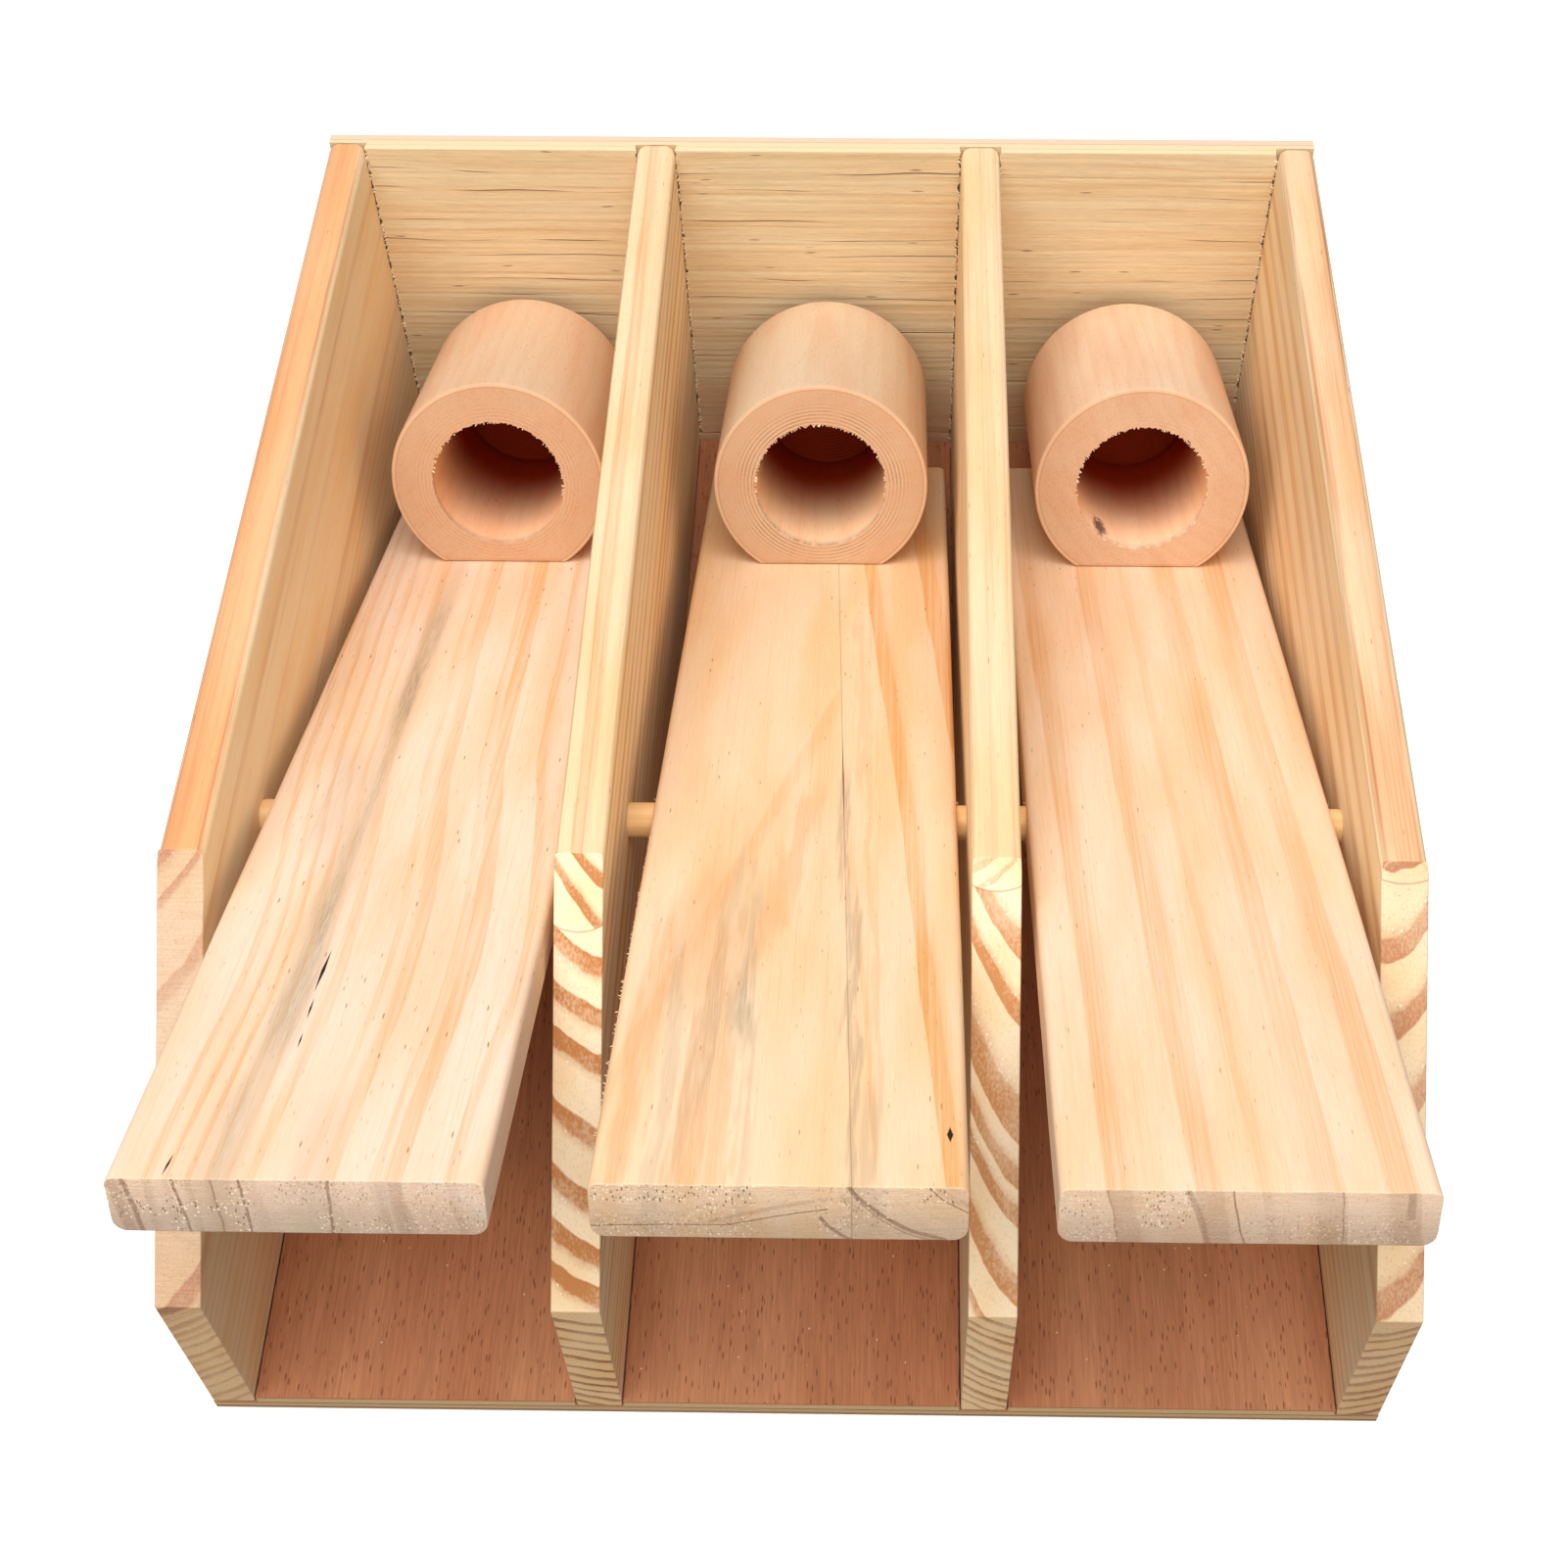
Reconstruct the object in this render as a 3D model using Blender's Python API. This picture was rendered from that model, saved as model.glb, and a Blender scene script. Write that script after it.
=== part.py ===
"""Three-lane see-saw treat puzzle for small pets.

Four pine walls stand in grooves of a plywood base and a plywood back panel.
A wooden dowel runs through all four walls and carries three see-saw treadles.
Each treadle has a bored treat cup on its tail: pressing the front of the
treadle down lifts the cup and tips the treats out of its mouth.

Frame: metres, +Z up, front of the box at -Y, origin on the underside of the
base, at the middle of the box's footprint.
"""
import math

import bmesh
import bpy
from mathutils import Vector

# Box
WIDTH = 0.2000          # over the outer faces of the side walls
DEPTH = 0.2333          # front edge of the base to the back of the back panel
HEIGHT = 0.0870         # underside of the base to the top of the walls
PLY = 0.0046            # thickness of the base and of the back panel
GROOVE = 0.0020         # depth of the grooves that hold the walls
GAP = 0.0003            # clearance between pieces that touch

# Walls
SIDE_BOARD = 0.0074     # thickness of the two side walls
DIVIDER_BOARD = 0.0078  # thickness of the two dividers
LEFT_DIVIDER_X = -0.0334
RIGHT_DIVIDER_X = 0.0324
CHIN_HEIGHT = 0.0429    # top of the walls' upright front faces
SLOPE_RUN = 0.0575      # length of the front slope, measured along the base
BOARD_ROUND = 0.0018    # rounding of the walls' long edges

# Pivot
PIVOT_FROM_FRONT = 0.0813
PIVOT_Z = 0.0620
DOWEL_R = 0.0030
DOWEL_EASE = 0.0004     # easing of the dowel's ends
HOLE_R = DOWEL_R + GAP

# Treadles
TREADLE_WIDTH = 0.0516
TREADLE_THICKNESS = 0.0096
FRONT_REACH = 0.0975    # pivot to the front end, along the treadle
TAIL_REACH = 0.1387     # pivot to the tail end, along the treadle
TREADLE_TOP_ROUND = 0.0022
TREADLE_BOTTOM_ROUND = 0.0030

# Treat cups
CUP_R = 0.0215
CUP_FLAT = 0.0175       # cup's axis to the flat that is glued to the treadle
CUP_LENGTH = 0.0480
CUP_FRONT = 0.0893      # pivot to the cup's mouth, along the treadle
BORE_R = 0.0132
BORE_DEPTH = 0.0420
CUP_EASE = 0.0005       # easing of the cup's end edges

# Brads
BRAD_R = 0.0006
BRAD_HEAD_R = 0.0010
BRAD_HEAD = 0.0006      # thickness of the head
BRAD_LENGTH = 0.0160
BRAD_SINK = 0.0002      # how far the heads lie below the plywood's face
BASE_BRADS_FROM_FRONT = (0.025, 0.116, 0.205)
BACK_BRADS_Z = (0.022, 0.066)

# Worked out from the above
FRONT = -DEPTH / 2
BACK = DEPTH / 2
PANEL_FACE = BACK - PLY             # front face of the back panel
PIVOT_Y = FRONT + PIVOT_FROM_FRONT
SIDE_X = WIDTH / 2 - SIDE_BOARD / 2
WALL_BOTTOM = PLY - GROOVE + GAP
WALL_BACK = PANEL_FACE + GROOVE - GAP

WALLS = (
    ("left_side_wall", -SIDE_X, SIDE_BOARD),
    ("left_divider", LEFT_DIVIDER_X, DIVIDER_BOARD),
    ("right_divider", RIGHT_DIVIDER_X, DIVIDER_BOARD),
    ("right_side_wall", SIDE_X, SIDE_BOARD),
)
LANES = (  # name, centre of the treadle, centre of its cup
    ("left", -0.0644, -0.0641),
    ("middle", 0.0010, 0.0008),
    ("right", 0.0646, 0.0653),
)


def tilt_to_base(reach):
    """Angle at which the underside of an end at this reach meets the base."""
    drop = PIVOT_Z - PLY - GAP
    half = TREADLE_THICKNESS / 2
    return math.asin(drop / math.hypot(reach, half)) - math.atan2(half, reach)


REST_TILT = tilt_to_base(TAIL_REACH)


def clear_scene():
    for obj in list(bpy.data.objects):
        bpy.data.objects.remove(obj, do_unlink=True)


def surface(name, colour, roughness=0.6, metallic=0.0):
    mat = bpy.data.materials.new(name)
    mat.use_nodes = True
    shader = mat.node_tree.nodes["Principled BSDF"]
    shader.inputs["Base Color"].default_value = (*colour, 1.0)
    shader.inputs["Roughness"].default_value = roughness
    shader.inputs["Metallic"].default_value = metallic
    mat.diffuse_color = (*colour, 1.0)
    return mat


def add_object(name, bm, mat=None, location=(0, 0, 0)):
    """Turn a bmesh into a named object with flat faces and smooth round ones."""
    bmesh.ops.recalc_face_normals(bm, faces=bm.faces)
    mesh = bpy.data.meshes.new(name)
    bm.to_mesh(mesh)
    bm.free()
    mesh.shade_smooth()
    mesh.set_sharp_from_angle(angle=math.radians(30))
    obj = bpy.data.objects.new(name, mesh)
    obj.location = location
    bpy.context.collection.objects.link(obj)
    if mat:
        mesh.materials.append(mat)
    return obj


def prism(outline, place, start, end):
    """Extrude a 2-D outline; place(a, b, along) gives a point in space."""
    bm = bmesh.new()
    near = [bm.verts.new(place(a, b, start)) for a, b in outline]
    face = bm.faces.new(near)
    moved = bmesh.ops.extrude_face_region(bm, geom=[face])["geom"]
    shift = Vector(place(0, 0, end)) - Vector(place(0, 0, start))
    verts = [item for item in moved if isinstance(item, bmesh.types.BMVert)]
    bmesh.ops.translate(bm, vec=shift, verts=verts)
    return bm


def along_x(a, b, along):
    return (along, a, b)


def along_y(a, b, along):
    return (a, along, b)


def along_z(a, b, along):
    return (a, b, along)


def round_edges(bm, wanted, radius, segments):
    """Round each edge for which wanted(one end, other end) is true."""
    edges = [e for e in bm.edges if wanted(*(v.co for v in e.verts))]
    bmesh.ops.bevel(bm, geom=edges, offset=radius, segments=segments,
                    profile=0.5, affect="EDGES")


def turned(bm, rings, base, axis, segments):
    """Add a turned piece: rings are (radius, distance along the axis)."""
    turn = Vector(axis).to_track_quat("Z", "Y").to_matrix()
    loops = []
    for radius, distance in rings:
        angles = [2 * math.pi * i / segments for i in range(segments)]
        points = [Vector((radius * math.cos(a), radius * math.sin(a), distance)) for a in angles]
        loops.append([bm.verts.new(Vector(base) + turn @ p) for p in points])
    for low, high in zip(loops, loops[1:]):
        for i in range(segments):
            j = (i + 1) % segments
            bm.faces.new((low[i], low[j], high[j], high[i]))
    bm.faces.new(list(reversed(loops[0])))
    bm.faces.new(loops[-1])


def drill(obj, holes, segments):
    """Cut round holes, given as (radius, base, axis, length), out of an object."""
    bm = bmesh.new()
    for radius, base, axis, length in holes:
        turned(bm, [(radius, 0.0), (radius, length)], base, axis, segments)
    cutter = add_object("cut_" + obj.name, bm)
    cutter.location = obj.location
    cutter.rotation_euler = obj.rotation_euler
    cutter.parent = obj.parent
    cutter.hide_render = True
    cutter.display_type = "WIRE"
    cut = obj.modifiers.new("holes", "BOOLEAN")
    cut.operation = "DIFFERENCE"
    cut.object = cutter


def comb_outline():
    """Section of a grooved plywood sheet, with its grooved face at PLY.

    Each divider has a groove, and both ends are rebated for the side walls.
    """
    floor = PLY - GROOVE
    edge = WIDTH / 2
    step = edge - SIDE_BOARD - GAP
    points = [(-edge, 0.0), (edge, 0.0), (edge, floor), (step, floor), (step, PLY)]
    for centre in (RIGHT_DIVIDER_X, LEFT_DIVIDER_X):
        half = DIVIDER_BOARD / 2 + GAP
        points += [(centre + half, PLY), (centre + half, floor)]
        points += [(centre - half, floor), (centre - half, PLY)]
    points += [(-step, PLY), (-step, floor), (-edge, floor)]
    return points


def base_brad_places():
    return [(x, FRONT + y) for _, x, _ in WALLS for y in BASE_BRADS_FROM_FRONT]


def back_brad_places():
    return [(x, z) for _, x, _ in WALLS for z in BACK_BRADS_Z]


def make_base(mat):
    """The base, which stops short of the back panel that covers its back edge."""
    obj = add_object("base_panel", prism(comb_outline(), along_y, FRONT, PANEL_FACE - GAP), mat)
    head_hole = BRAD_HEAD_R + GAP
    holes = [(head_hole, (x, y, -PLY), (0, 0, 1), 3 * PLY) for x, y in base_brad_places()]
    drill(obj, holes, 12)


def make_back(mat):
    """The full-height back panel, with the same grooves as the base."""
    outline = [(x, BACK - depth) for x, depth in comb_outline()]
    obj = add_object("back_panel", prism(outline, along_z, 0.0, HEIGHT), mat)
    head_hole = BRAD_HEAD_R + GAP
    holes = [(head_hole, (x, BACK - 2 * PLY, z), (0, 1, 0), 3 * PLY) for x, z in back_brad_places()]
    drill(obj, holes, 12)


def make_wall(name, x, board, mat):
    """A wall board: upright front, long front slope, level top, rounded edges."""
    outline = [
        (FRONT, WALL_BOTTOM),
        (WALL_BACK, WALL_BOTTOM),
        (WALL_BACK, HEIGHT),
        (FRONT + SLOPE_RUN, HEIGHT),
        (FRONT, CHIN_HEIGHT),
    ]
    bm = prism(outline, along_x, x - board / 2, x + board / 2)

    def is_long_edge(a, b):
        lengthwise = abs(a.x - b.x) < 1e-6
        level = abs(a.z - b.z) < 1e-6
        at_back = min(a.y, b.y) > WALL_BACK - 1e-6
        return lengthwise and (level or at_back)

    round_edges(bm, is_long_edge, BOARD_ROUND, 4)
    obj = add_object(name, bm, mat)
    drill(obj, wall_holes(x, board), 24)


def wall_holes(x, board):
    """The dowel's hole, and the pilot holes for the brads in this wall's edges."""
    pilot_r = BRAD_R + GAP
    depth = BRAD_LENGTH + GAP
    holes = [(HOLE_R, (x - board, PIVOT_Y, PIVOT_Z), (1, 0, 0), 2 * board)]
    for y in BASE_BRADS_FROM_FRONT:
        holes.append((pilot_r, (x, FRONT + y, BRAD_SINK), (0, 0, 1), depth))
    for z in BACK_BRADS_Z:
        holes.append((pilot_r, (x, BACK - BRAD_SINK, z), (0, -1, 0), depth))
    return holes


def make_dowel(mat):
    """The pivot, as long as the box is wide, with eased ends."""
    eased = DOWEL_R - DOWEL_EASE
    rings = [
        (eased, 0.0),
        (DOWEL_R, DOWEL_EASE),
        (DOWEL_R, WIDTH - DOWEL_EASE),
        (eased, WIDTH),
    ]
    bm = bmesh.new()
    turned(bm, rings, (-WIDTH / 2, PIVOT_Y, PIVOT_Z), (1, 0, 0), 32)
    add_object("pivot_dowel", bm, mat)


def corner_arc(x, z, radius, start, steps=4):
    """Points of a quarter circle around (x, z), starting at this angle."""
    angles = [start + math.pi / 2 * i / steps for i in range(steps + 1)]
    return [(x + radius * math.cos(a), z + radius * math.sin(a)) for a in angles]


def treadle_outline():
    """Section of a treadle, with the tighter rounding on its top edges."""
    half, top = TREADLE_WIDTH / 2, TREADLE_THICKNESS / 2
    r_top, r_low = TREADLE_TOP_ROUND, TREADLE_BOTTOM_ROUND
    points = corner_arc(half - r_top, top - r_top, r_top, 0.0)
    points += corner_arc(-half + r_top, top - r_top, r_top, math.pi / 2)
    points += corner_arc(-half + r_low, -top + r_low, r_low, math.pi)
    points += corner_arc(half - r_low, -top + r_low, r_low, 1.5 * math.pi)
    return points


def make_treadle(name, x, mat):
    """A see-saw plank with its origin on the pivot, tail down on the base."""
    bm = prism(treadle_outline(), along_y, -FRONT_REACH, TAIL_REACH)
    obj = add_object(name, bm, mat, (x, PIVOT_Y, PIVOT_Z))
    obj.rotation_euler.x = -REST_TILT
    drill(obj, [(HOLE_R, (-TREADLE_WIDTH, 0, 0), (1, 0, 0), 2 * TREADLE_WIDTH)], 32)
    return obj


def cup_outline(steps=56):
    """A circle with a flat at the bottom; the flat lies at z = 0."""
    half_gap = math.acos(CUP_FLAT / CUP_R)
    first = -math.pi / 2 + half_gap
    sweep = 2 * math.pi - 2 * half_gap
    angles = [first + sweep * i / steps for i in range(steps + 1)]
    return [(CUP_R * math.cos(a), CUP_FLAT + CUP_R * math.sin(a)) for a in angles]


def make_cup(name, treadle, offset_x, mat):
    """A round block with a flat, bored from the front and closed at the back."""
    bm = prism(cup_outline(), along_y, 0.0, CUP_LENGTH)

    def is_end_edge(a, b):
        return abs(a.y - b.y) < 1e-6

    round_edges(bm, is_end_edge, CUP_EASE, 1)
    obj = add_object(name, bm, mat, (offset_x, CUP_FRONT, TREADLE_THICKNESS / 2 + GAP))
    obj.parent = treadle
    drill(obj, [(BORE_R, (0, -CUP_LENGTH, CUP_FLAT), (0, 1, 0), CUP_LENGTH + BORE_DEPTH)], 48)


def make_brads(name, places, axis, mat):
    """A headed brad at each place, driven along the axis; each is its own object."""
    rings = [
        (BRAD_HEAD_R, 0.0),
        (BRAD_HEAD_R, BRAD_HEAD),
        (BRAD_R, BRAD_HEAD),
        (BRAD_R, BRAD_LENGTH - 2 * BRAD_R),
        (BRAD_R / 3, BRAD_LENGTH),
    ]
    for number, place in enumerate(places, 1):
        bm = bmesh.new()
        turned(bm, rings, (0, 0, 0), axis, 8)
        add_object(f"{name}_{number}", bm, mat, place)


def build():
    clear_scene()
    pine = surface("pine", (0.82, 0.62, 0.36))
    pine_treadle = surface("pine_treadle", (0.84, 0.63, 0.38), 0.55)
    beech = surface("beech", (0.72, 0.42, 0.25), 0.55)
    red_ply = surface("red_plywood", (0.42, 0.18, 0.10), 0.7)
    pale_ply = surface("pale_plywood", (0.68, 0.48, 0.27), 0.7)
    dowel_wood = surface("dowel_wood", (0.70, 0.42, 0.18), 0.5)
    steel = surface("steel", (0.55, 0.55, 0.56), 0.35, 1.0)

    make_base(red_ply)
    make_back(pale_ply)
    for name, x, board in WALLS:
        make_wall(name, x, board, pine)
    make_dowel(dowel_wood)
    for lane, treadle_x, cup_x in LANES:
        treadle = make_treadle(lane + "_treadle", treadle_x, pine_treadle)
        make_cup(lane + "_treat_cup", treadle, cup_x - treadle_x, beech)
    base_places = [(x, y, BRAD_SINK) for x, y in base_brad_places()]
    back_places = [(x, BACK - BRAD_SINK, z) for x, z in back_brad_places()]
    make_brads("base_brad", base_places, (0, 0, 1), steel)
    make_brads("back_brad", back_places, (0, -1, 0), steel)


build()
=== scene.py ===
import math
import random

import bmesh
import bpy
from mathutils import Matrix, Vector, noise


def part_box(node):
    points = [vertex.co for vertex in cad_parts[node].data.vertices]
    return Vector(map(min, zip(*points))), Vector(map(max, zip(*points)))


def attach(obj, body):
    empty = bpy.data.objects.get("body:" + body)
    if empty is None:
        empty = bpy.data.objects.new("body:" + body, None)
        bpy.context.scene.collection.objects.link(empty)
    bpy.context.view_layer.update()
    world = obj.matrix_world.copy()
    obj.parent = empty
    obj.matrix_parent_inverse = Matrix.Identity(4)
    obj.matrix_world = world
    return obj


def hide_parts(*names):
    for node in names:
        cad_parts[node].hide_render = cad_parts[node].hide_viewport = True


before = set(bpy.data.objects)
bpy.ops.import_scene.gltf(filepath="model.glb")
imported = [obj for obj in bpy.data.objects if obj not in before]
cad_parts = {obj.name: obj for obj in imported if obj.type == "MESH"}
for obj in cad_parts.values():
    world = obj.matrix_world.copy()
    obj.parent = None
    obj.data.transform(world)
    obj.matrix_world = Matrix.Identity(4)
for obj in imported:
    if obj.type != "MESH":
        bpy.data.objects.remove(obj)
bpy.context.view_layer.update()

MM = 0.001
LANES = ("left", "middle", "right")

# The frame's own sizes
base_low, base_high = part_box("base_panel")
back_low, back_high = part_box("back_panel")
dowel_low, dowel_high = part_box("pivot_dowel")
PLY = base_high.z
HALF_WIDTH = base_high.x
FRONT = base_low.y
BACK = back_high.y
PANEL_FACE = back_low.y
HEIGHT = back_high.z
PIVOT = (dowel_low + dowel_high) / 2
DOWEL_R = (dowel_high.z - dowel_low.z) / 2
GROOVE = 2.0 * MM
GAP = 0.3 * MM
BOARD_ROUND = 1.8 * MM
SLOPE_RUN = 57.5 * MM
CHIN_HEIGHT = 42.9 * MM

# Treadle and cup, in the treadle's own axes: X across, Y along it from the pivot, Z up
TREADLE_WIDTH = 51.6 * MM
TREADLE_THICKNESS = 9.6 * MM
FRONT_REACH = 97.5 * MM
TAIL_REACH = 138.7 * MM
TOP_ROUND = 1.4 * MM
BOTTOM_ROUND = 2.2 * MM
CUP_R = 21.5 * MM
CUP_FLAT = 17.5 * MM
CUP_LENGTH = 48.0 * MM
CUP_FRONT = 89.3 * MM
BORE_R = 13.2 * MM
BORE_DEPTH = 42.0 * MM
CUP_EASE = 0.5 * MM


def rest_tilt():
    """Angle between the resting treadle and the base, from the treadle's own box."""
    low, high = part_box("middle_treadle")
    span = high.y - low.y
    length = FRONT_REACH + TAIL_REACH
    lean = math.atan2(TREADLE_THICKNESS, length)
    return math.acos(span / math.hypot(length, TREADLE_THICKNESS)) + lean


REST_TILT = rest_tilt()


def centre_x(node):
    low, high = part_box(node)
    return (low.x + high.x) / 2


# ------------------------------------------------------------------ shader helpers

def srgb(red, green, blue):
    """Linear colour of an 8-bit display colour."""
    def linear(c):
        c = c / 255
        return c / 12.92 if c <= 0.04045 else ((c + 0.055) / 1.055) ** 2.4
    return (linear(red), linear(green), linear(blue), 1.0)


class Graph:
    """A material's node tree, with short calls that add and link nodes."""

    def __init__(self, name):
        self.material = bpy.data.materials.new(name)
        self.material.use_nodes = True
        self.tree = self.material.node_tree
        self.shader = self.tree.nodes["Principled BSDF"]

    def add(self, kind, **settings):
        node = self.tree.nodes.new(kind)
        for key, value in settings.items():
            setattr(node, key, value)
        return node

    def put(self, socket, value):
        """Link a socket, or set it to a constant."""
        if isinstance(value, bpy.types.NodeSocket):
            self.tree.links.new(value, socket)
        elif socket.type == "VECTOR":
            socket.default_value = value[:3]
        else:
            socket.default_value = value

    def math(self, operation, a, b=0.0, c=0.0, clamp=False):
        node = self.add("ShaderNodeMath", operation=operation, use_clamp=clamp)
        for socket, value in zip(node.inputs, (a, b, c)):
            self.put(socket, value)
        return node.outputs[0]

    def plus(self, a, b):
        return self.math("ADD", a, b)

    def times(self, a, b):
        return self.math("MULTIPLY", a, b)

    def minus(self, a, b):
        return self.math("SUBTRACT", a, b)

    def abs(self, a):
        return self.math("ABSOLUTE", a)

    def blend(self, share, a, b):
        """Value b where share is 1, and a where it is 0."""
        return self.plus(self.times(share, b), self.times(self.minus(1.0, share), a))

    def step(self, value, start, end, low=0.0, high=1.0):
        """Smooth step from low at start to high at end."""
        node = self.add("ShaderNodeMapRange", interpolation_type="SMOOTHSTEP")
        for name, item in (("Value", value), ("From Min", start), ("From Max", end),
                           ("To Min", low), ("To Max", high)):
            self.put(node.inputs[name], item)
        return node.outputs["Result"]

    def window(self, value, start, end, soft):
        """1 between start and end, falling smoothly to 0 over soft outside them."""
        rise = self.step(value, start - soft, start)
        fall = self.step(value, end, end + soft, 1.0, 0.0)
        return self.times(rise, fall)

    def split(self, vector):
        node = self.add("ShaderNodeSeparateXYZ")
        self.put(node.inputs[0], vector)
        return node.outputs

    def join(self, x, y, z):
        node = self.add("ShaderNodeCombineXYZ")
        for socket, value in zip(node.inputs, (x, y, z)):
            self.put(socket, value)
        return node.outputs[0]

    def sized(self, vector, size):
        node = self.add("ShaderNodeVectorMath", operation="DIVIDE")
        self.put(node.inputs[0], vector)
        node.inputs[1].default_value = size
        return node.outputs[0]

    def noise(self, vector, size, detail=2.0, rough=0.5, bend=0.0):
        """Noise from 0 to 1 whose features have this size along each axis."""
        node = self.add("ShaderNodeTexNoise")
        self.put(node.inputs["Vector"], self.sized(vector, size))
        node.inputs["Scale"].default_value = 1.0
        node.inputs["Detail"].default_value = detail
        node.inputs["Roughness"].default_value = rough
        node.inputs["Distortion"].default_value = bend
        return node.outputs["Fac"]

    def cells(self, vector, size):
        """Distance to the nearest scattered point, and a random value of its cell."""
        node = self.add("ShaderNodeTexVoronoi")
        self.put(node.inputs["Vector"], self.sized(vector, size))
        node.inputs["Scale"].default_value = 1.0
        return node.outputs["Distance"], self.split(node.outputs["Color"])[0]

    def spots(self, vector, size, far, near, rare, common, level=1.0):
        """Scattered spots: level within near of a point, and 0 beyond far, in the
        cells whose random value passes from rare to common."""
        distance, chance = self.cells(vector, size)
        spot = self.step(distance, far, near, 0.0, level)
        return self.times(spot, self.step(chance, rare, common))

    def ramp(self, value, stops, smooth="LINEAR"):
        node = self.add("ShaderNodeValToRGB")
        self.put(node.inputs[0], value)
        node.color_ramp.interpolation = smooth
        elements = node.color_ramp.elements
        while len(elements) < len(stops):
            elements.new(1.0)
        for element, (place, level) in zip(elements, stops):
            element.position = place
            element.color = level if isinstance(level, tuple) else (level, level, level, 1.0)
        return node.outputs["Color"]

    def mix(self, share, a, b, blend="MIX"):
        node = self.add("ShaderNodeMix", data_type="RGBA", blend_type=blend)
        self.put(node.inputs[0], share)
        self.put(node.inputs[6], a)
        self.put(node.inputs[7], b)
        return node.outputs[2]

    def shade(self, colour, level):
        """Colour times a grey level."""
        node = self.add("ShaderNodeVectorMath", operation="SCALE")
        self.put(node.inputs[0], colour)
        self.put(node.inputs["Scale"], level)
        return node.outputs[0]

    def place(self, location=(0, 0, 0), tilt=0.0):
        """Object coordinates in millimetres, from a point and tilted about X."""
        coordinates = self.add("ShaderNodeTexCoord")
        node = self.add("ShaderNodeMapping", vector_type="TEXTURE")
        self.put(node.inputs["Vector"], coordinates.outputs["Object"])
        node.inputs["Location"].default_value = location
        node.inputs["Rotation"].default_value = (tilt, 0.0, 0.0)
        node.inputs["Scale"].default_value = (MM, MM, MM)
        return node.outputs[0]

    def facing(self, tilt=0.0):
        """The surface normal in the same tilted axes."""
        coordinates = self.add("ShaderNodeTexCoord")
        node = self.add("ShaderNodeMapping", vector_type="TEXTURE")
        self.put(node.inputs["Vector"], coordinates.outputs["Normal"])
        node.inputs["Rotation"].default_value = (tilt, 0.0, 0.0)
        return self.split(node.outputs[0])

    def finish(self, colour, roughness, height, depth_mm, specular=0.35):
        bump = self.add("ShaderNodeBump")
        bump.inputs["Strength"].default_value = 1.0
        bump.inputs["Distance"].default_value = depth_mm * MM
        self.put(bump.inputs["Height"], height)
        self.put(self.shader.inputs["Normal"], bump.outputs[0])
        self.put(self.shader.inputs["Base Color"], colour)
        self.put(self.shader.inputs["Roughness"], roughness)
        self.shader.inputs["Specular IOR Level"].default_value = specular
        return self.material


# ------------------------------------------------------------------ pine

class Stave:
    """One strip of an edge-glued pine board and its growth rings.

    The rings cross the board's width at u, in millimetres, where v is zero, and move
    sideways by slope * v + curve * v * v through its thickness. A ring is
    (u, band, strength): its sharp edge, the signed width of the dark latewood beside
    it, and how dark that is. Along the board they drift by lean, and sway to the side
    by (share of the length, shift).
    """

    def __init__(self, rings, slope=0.0, curve=0.0, lean=0.0, sway=(), tint=1.0):
        self.rings = rings
        self.slope = slope
        self.curve = curve
        self.lean = lean
        self.sway = sway
        self.tint = tint


def ring_run(first, last, spacing, band, strength, seed):
    """Evenly aged rings from first to last, each a little different."""
    chance = random.Random(seed)
    rings = []
    u = first
    while u < last:
        rings.append((u, band * chance.uniform(0.7, 1.3), strength * chance.uniform(0.75, 1.1)))
        u += spacing * chance.uniform(0.75, 1.25)
    return rings


def ring_bands(g, stave, u, v, y):
    """Darkness of the stave's growth rings at a point of the board."""
    u = g.plus(u, g.times(v, stave.slope))
    if stave.curve:
        u = g.plus(u, g.times(g.times(v, v), stave.curve))
    if stave.lean:
        u = g.plus(u, g.times(y, stave.lean))
    if stave.sway:
        reach = 10.0
        share = g.math("DIVIDE", y, (FRONT_REACH + TAIL_REACH) / MM, clamp=True)
        stops = [(at, 0.5 - shift / (2 * reach)) for at, shift in stave.sway]
        shift = g.ramp(share, stops, "B_SPLINE")
        u = g.plus(u, g.times(g.minus(shift, 0.5), 2 * reach))
    edge = 0.10
    margin = 9.0
    per_ramp = 5    # a ramp holds 32 stops, and each ring takes 6
    rings = sorted(stave.rings)
    bands = 0.0
    for first in range(0, len(rings), per_ramp):
        part = rings[first:first + per_ramp]
        low = part[0][0] - margin
        high = part[-1][0] + margin
        stops = []
        for at, band, strength in part:
            way = math.copysign(edge, band)
            points = [(at - way, 0.0), (at + way, strength), (at + way * 3, strength * 0.86),
                      (at + band * 0.60, strength * 0.74),
                      (at + band * 0.70, strength * 0.30), (at + band, 0.0)]
            stops += [((place - low) / (high - low), level) for place, level in points]
        stops.sort()
        place = g.math("DIVIDE", g.minus(u, low), high - low, clamp=True)
        bands = g.math("MAXIMUM", bands, g.ramp(place, stops))
    return bands


def stain_mask(g, shifted, y, streaks, fibre):
    """Streaks of stain: (u, half width, first y, last y, strength, slant)."""
    total = 0.0
    for centre, half, first, last, strength, slant in streaks:
        line = g.minus(g.minus(shifted, centre), g.times(g.minus(y, (first + last) / 2), slant))
        across = g.step(g.abs(line), half * 1.2, half * 0.3)
        along = g.window(y, first, last, 14.0)
        total = g.plus(total, g.times(g.times(across, along), strength))
    return g.math("MULTIPLY", total, g.step(fibre, 0.30, 0.62, 0.35, 1.0), clamp=True)


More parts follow.
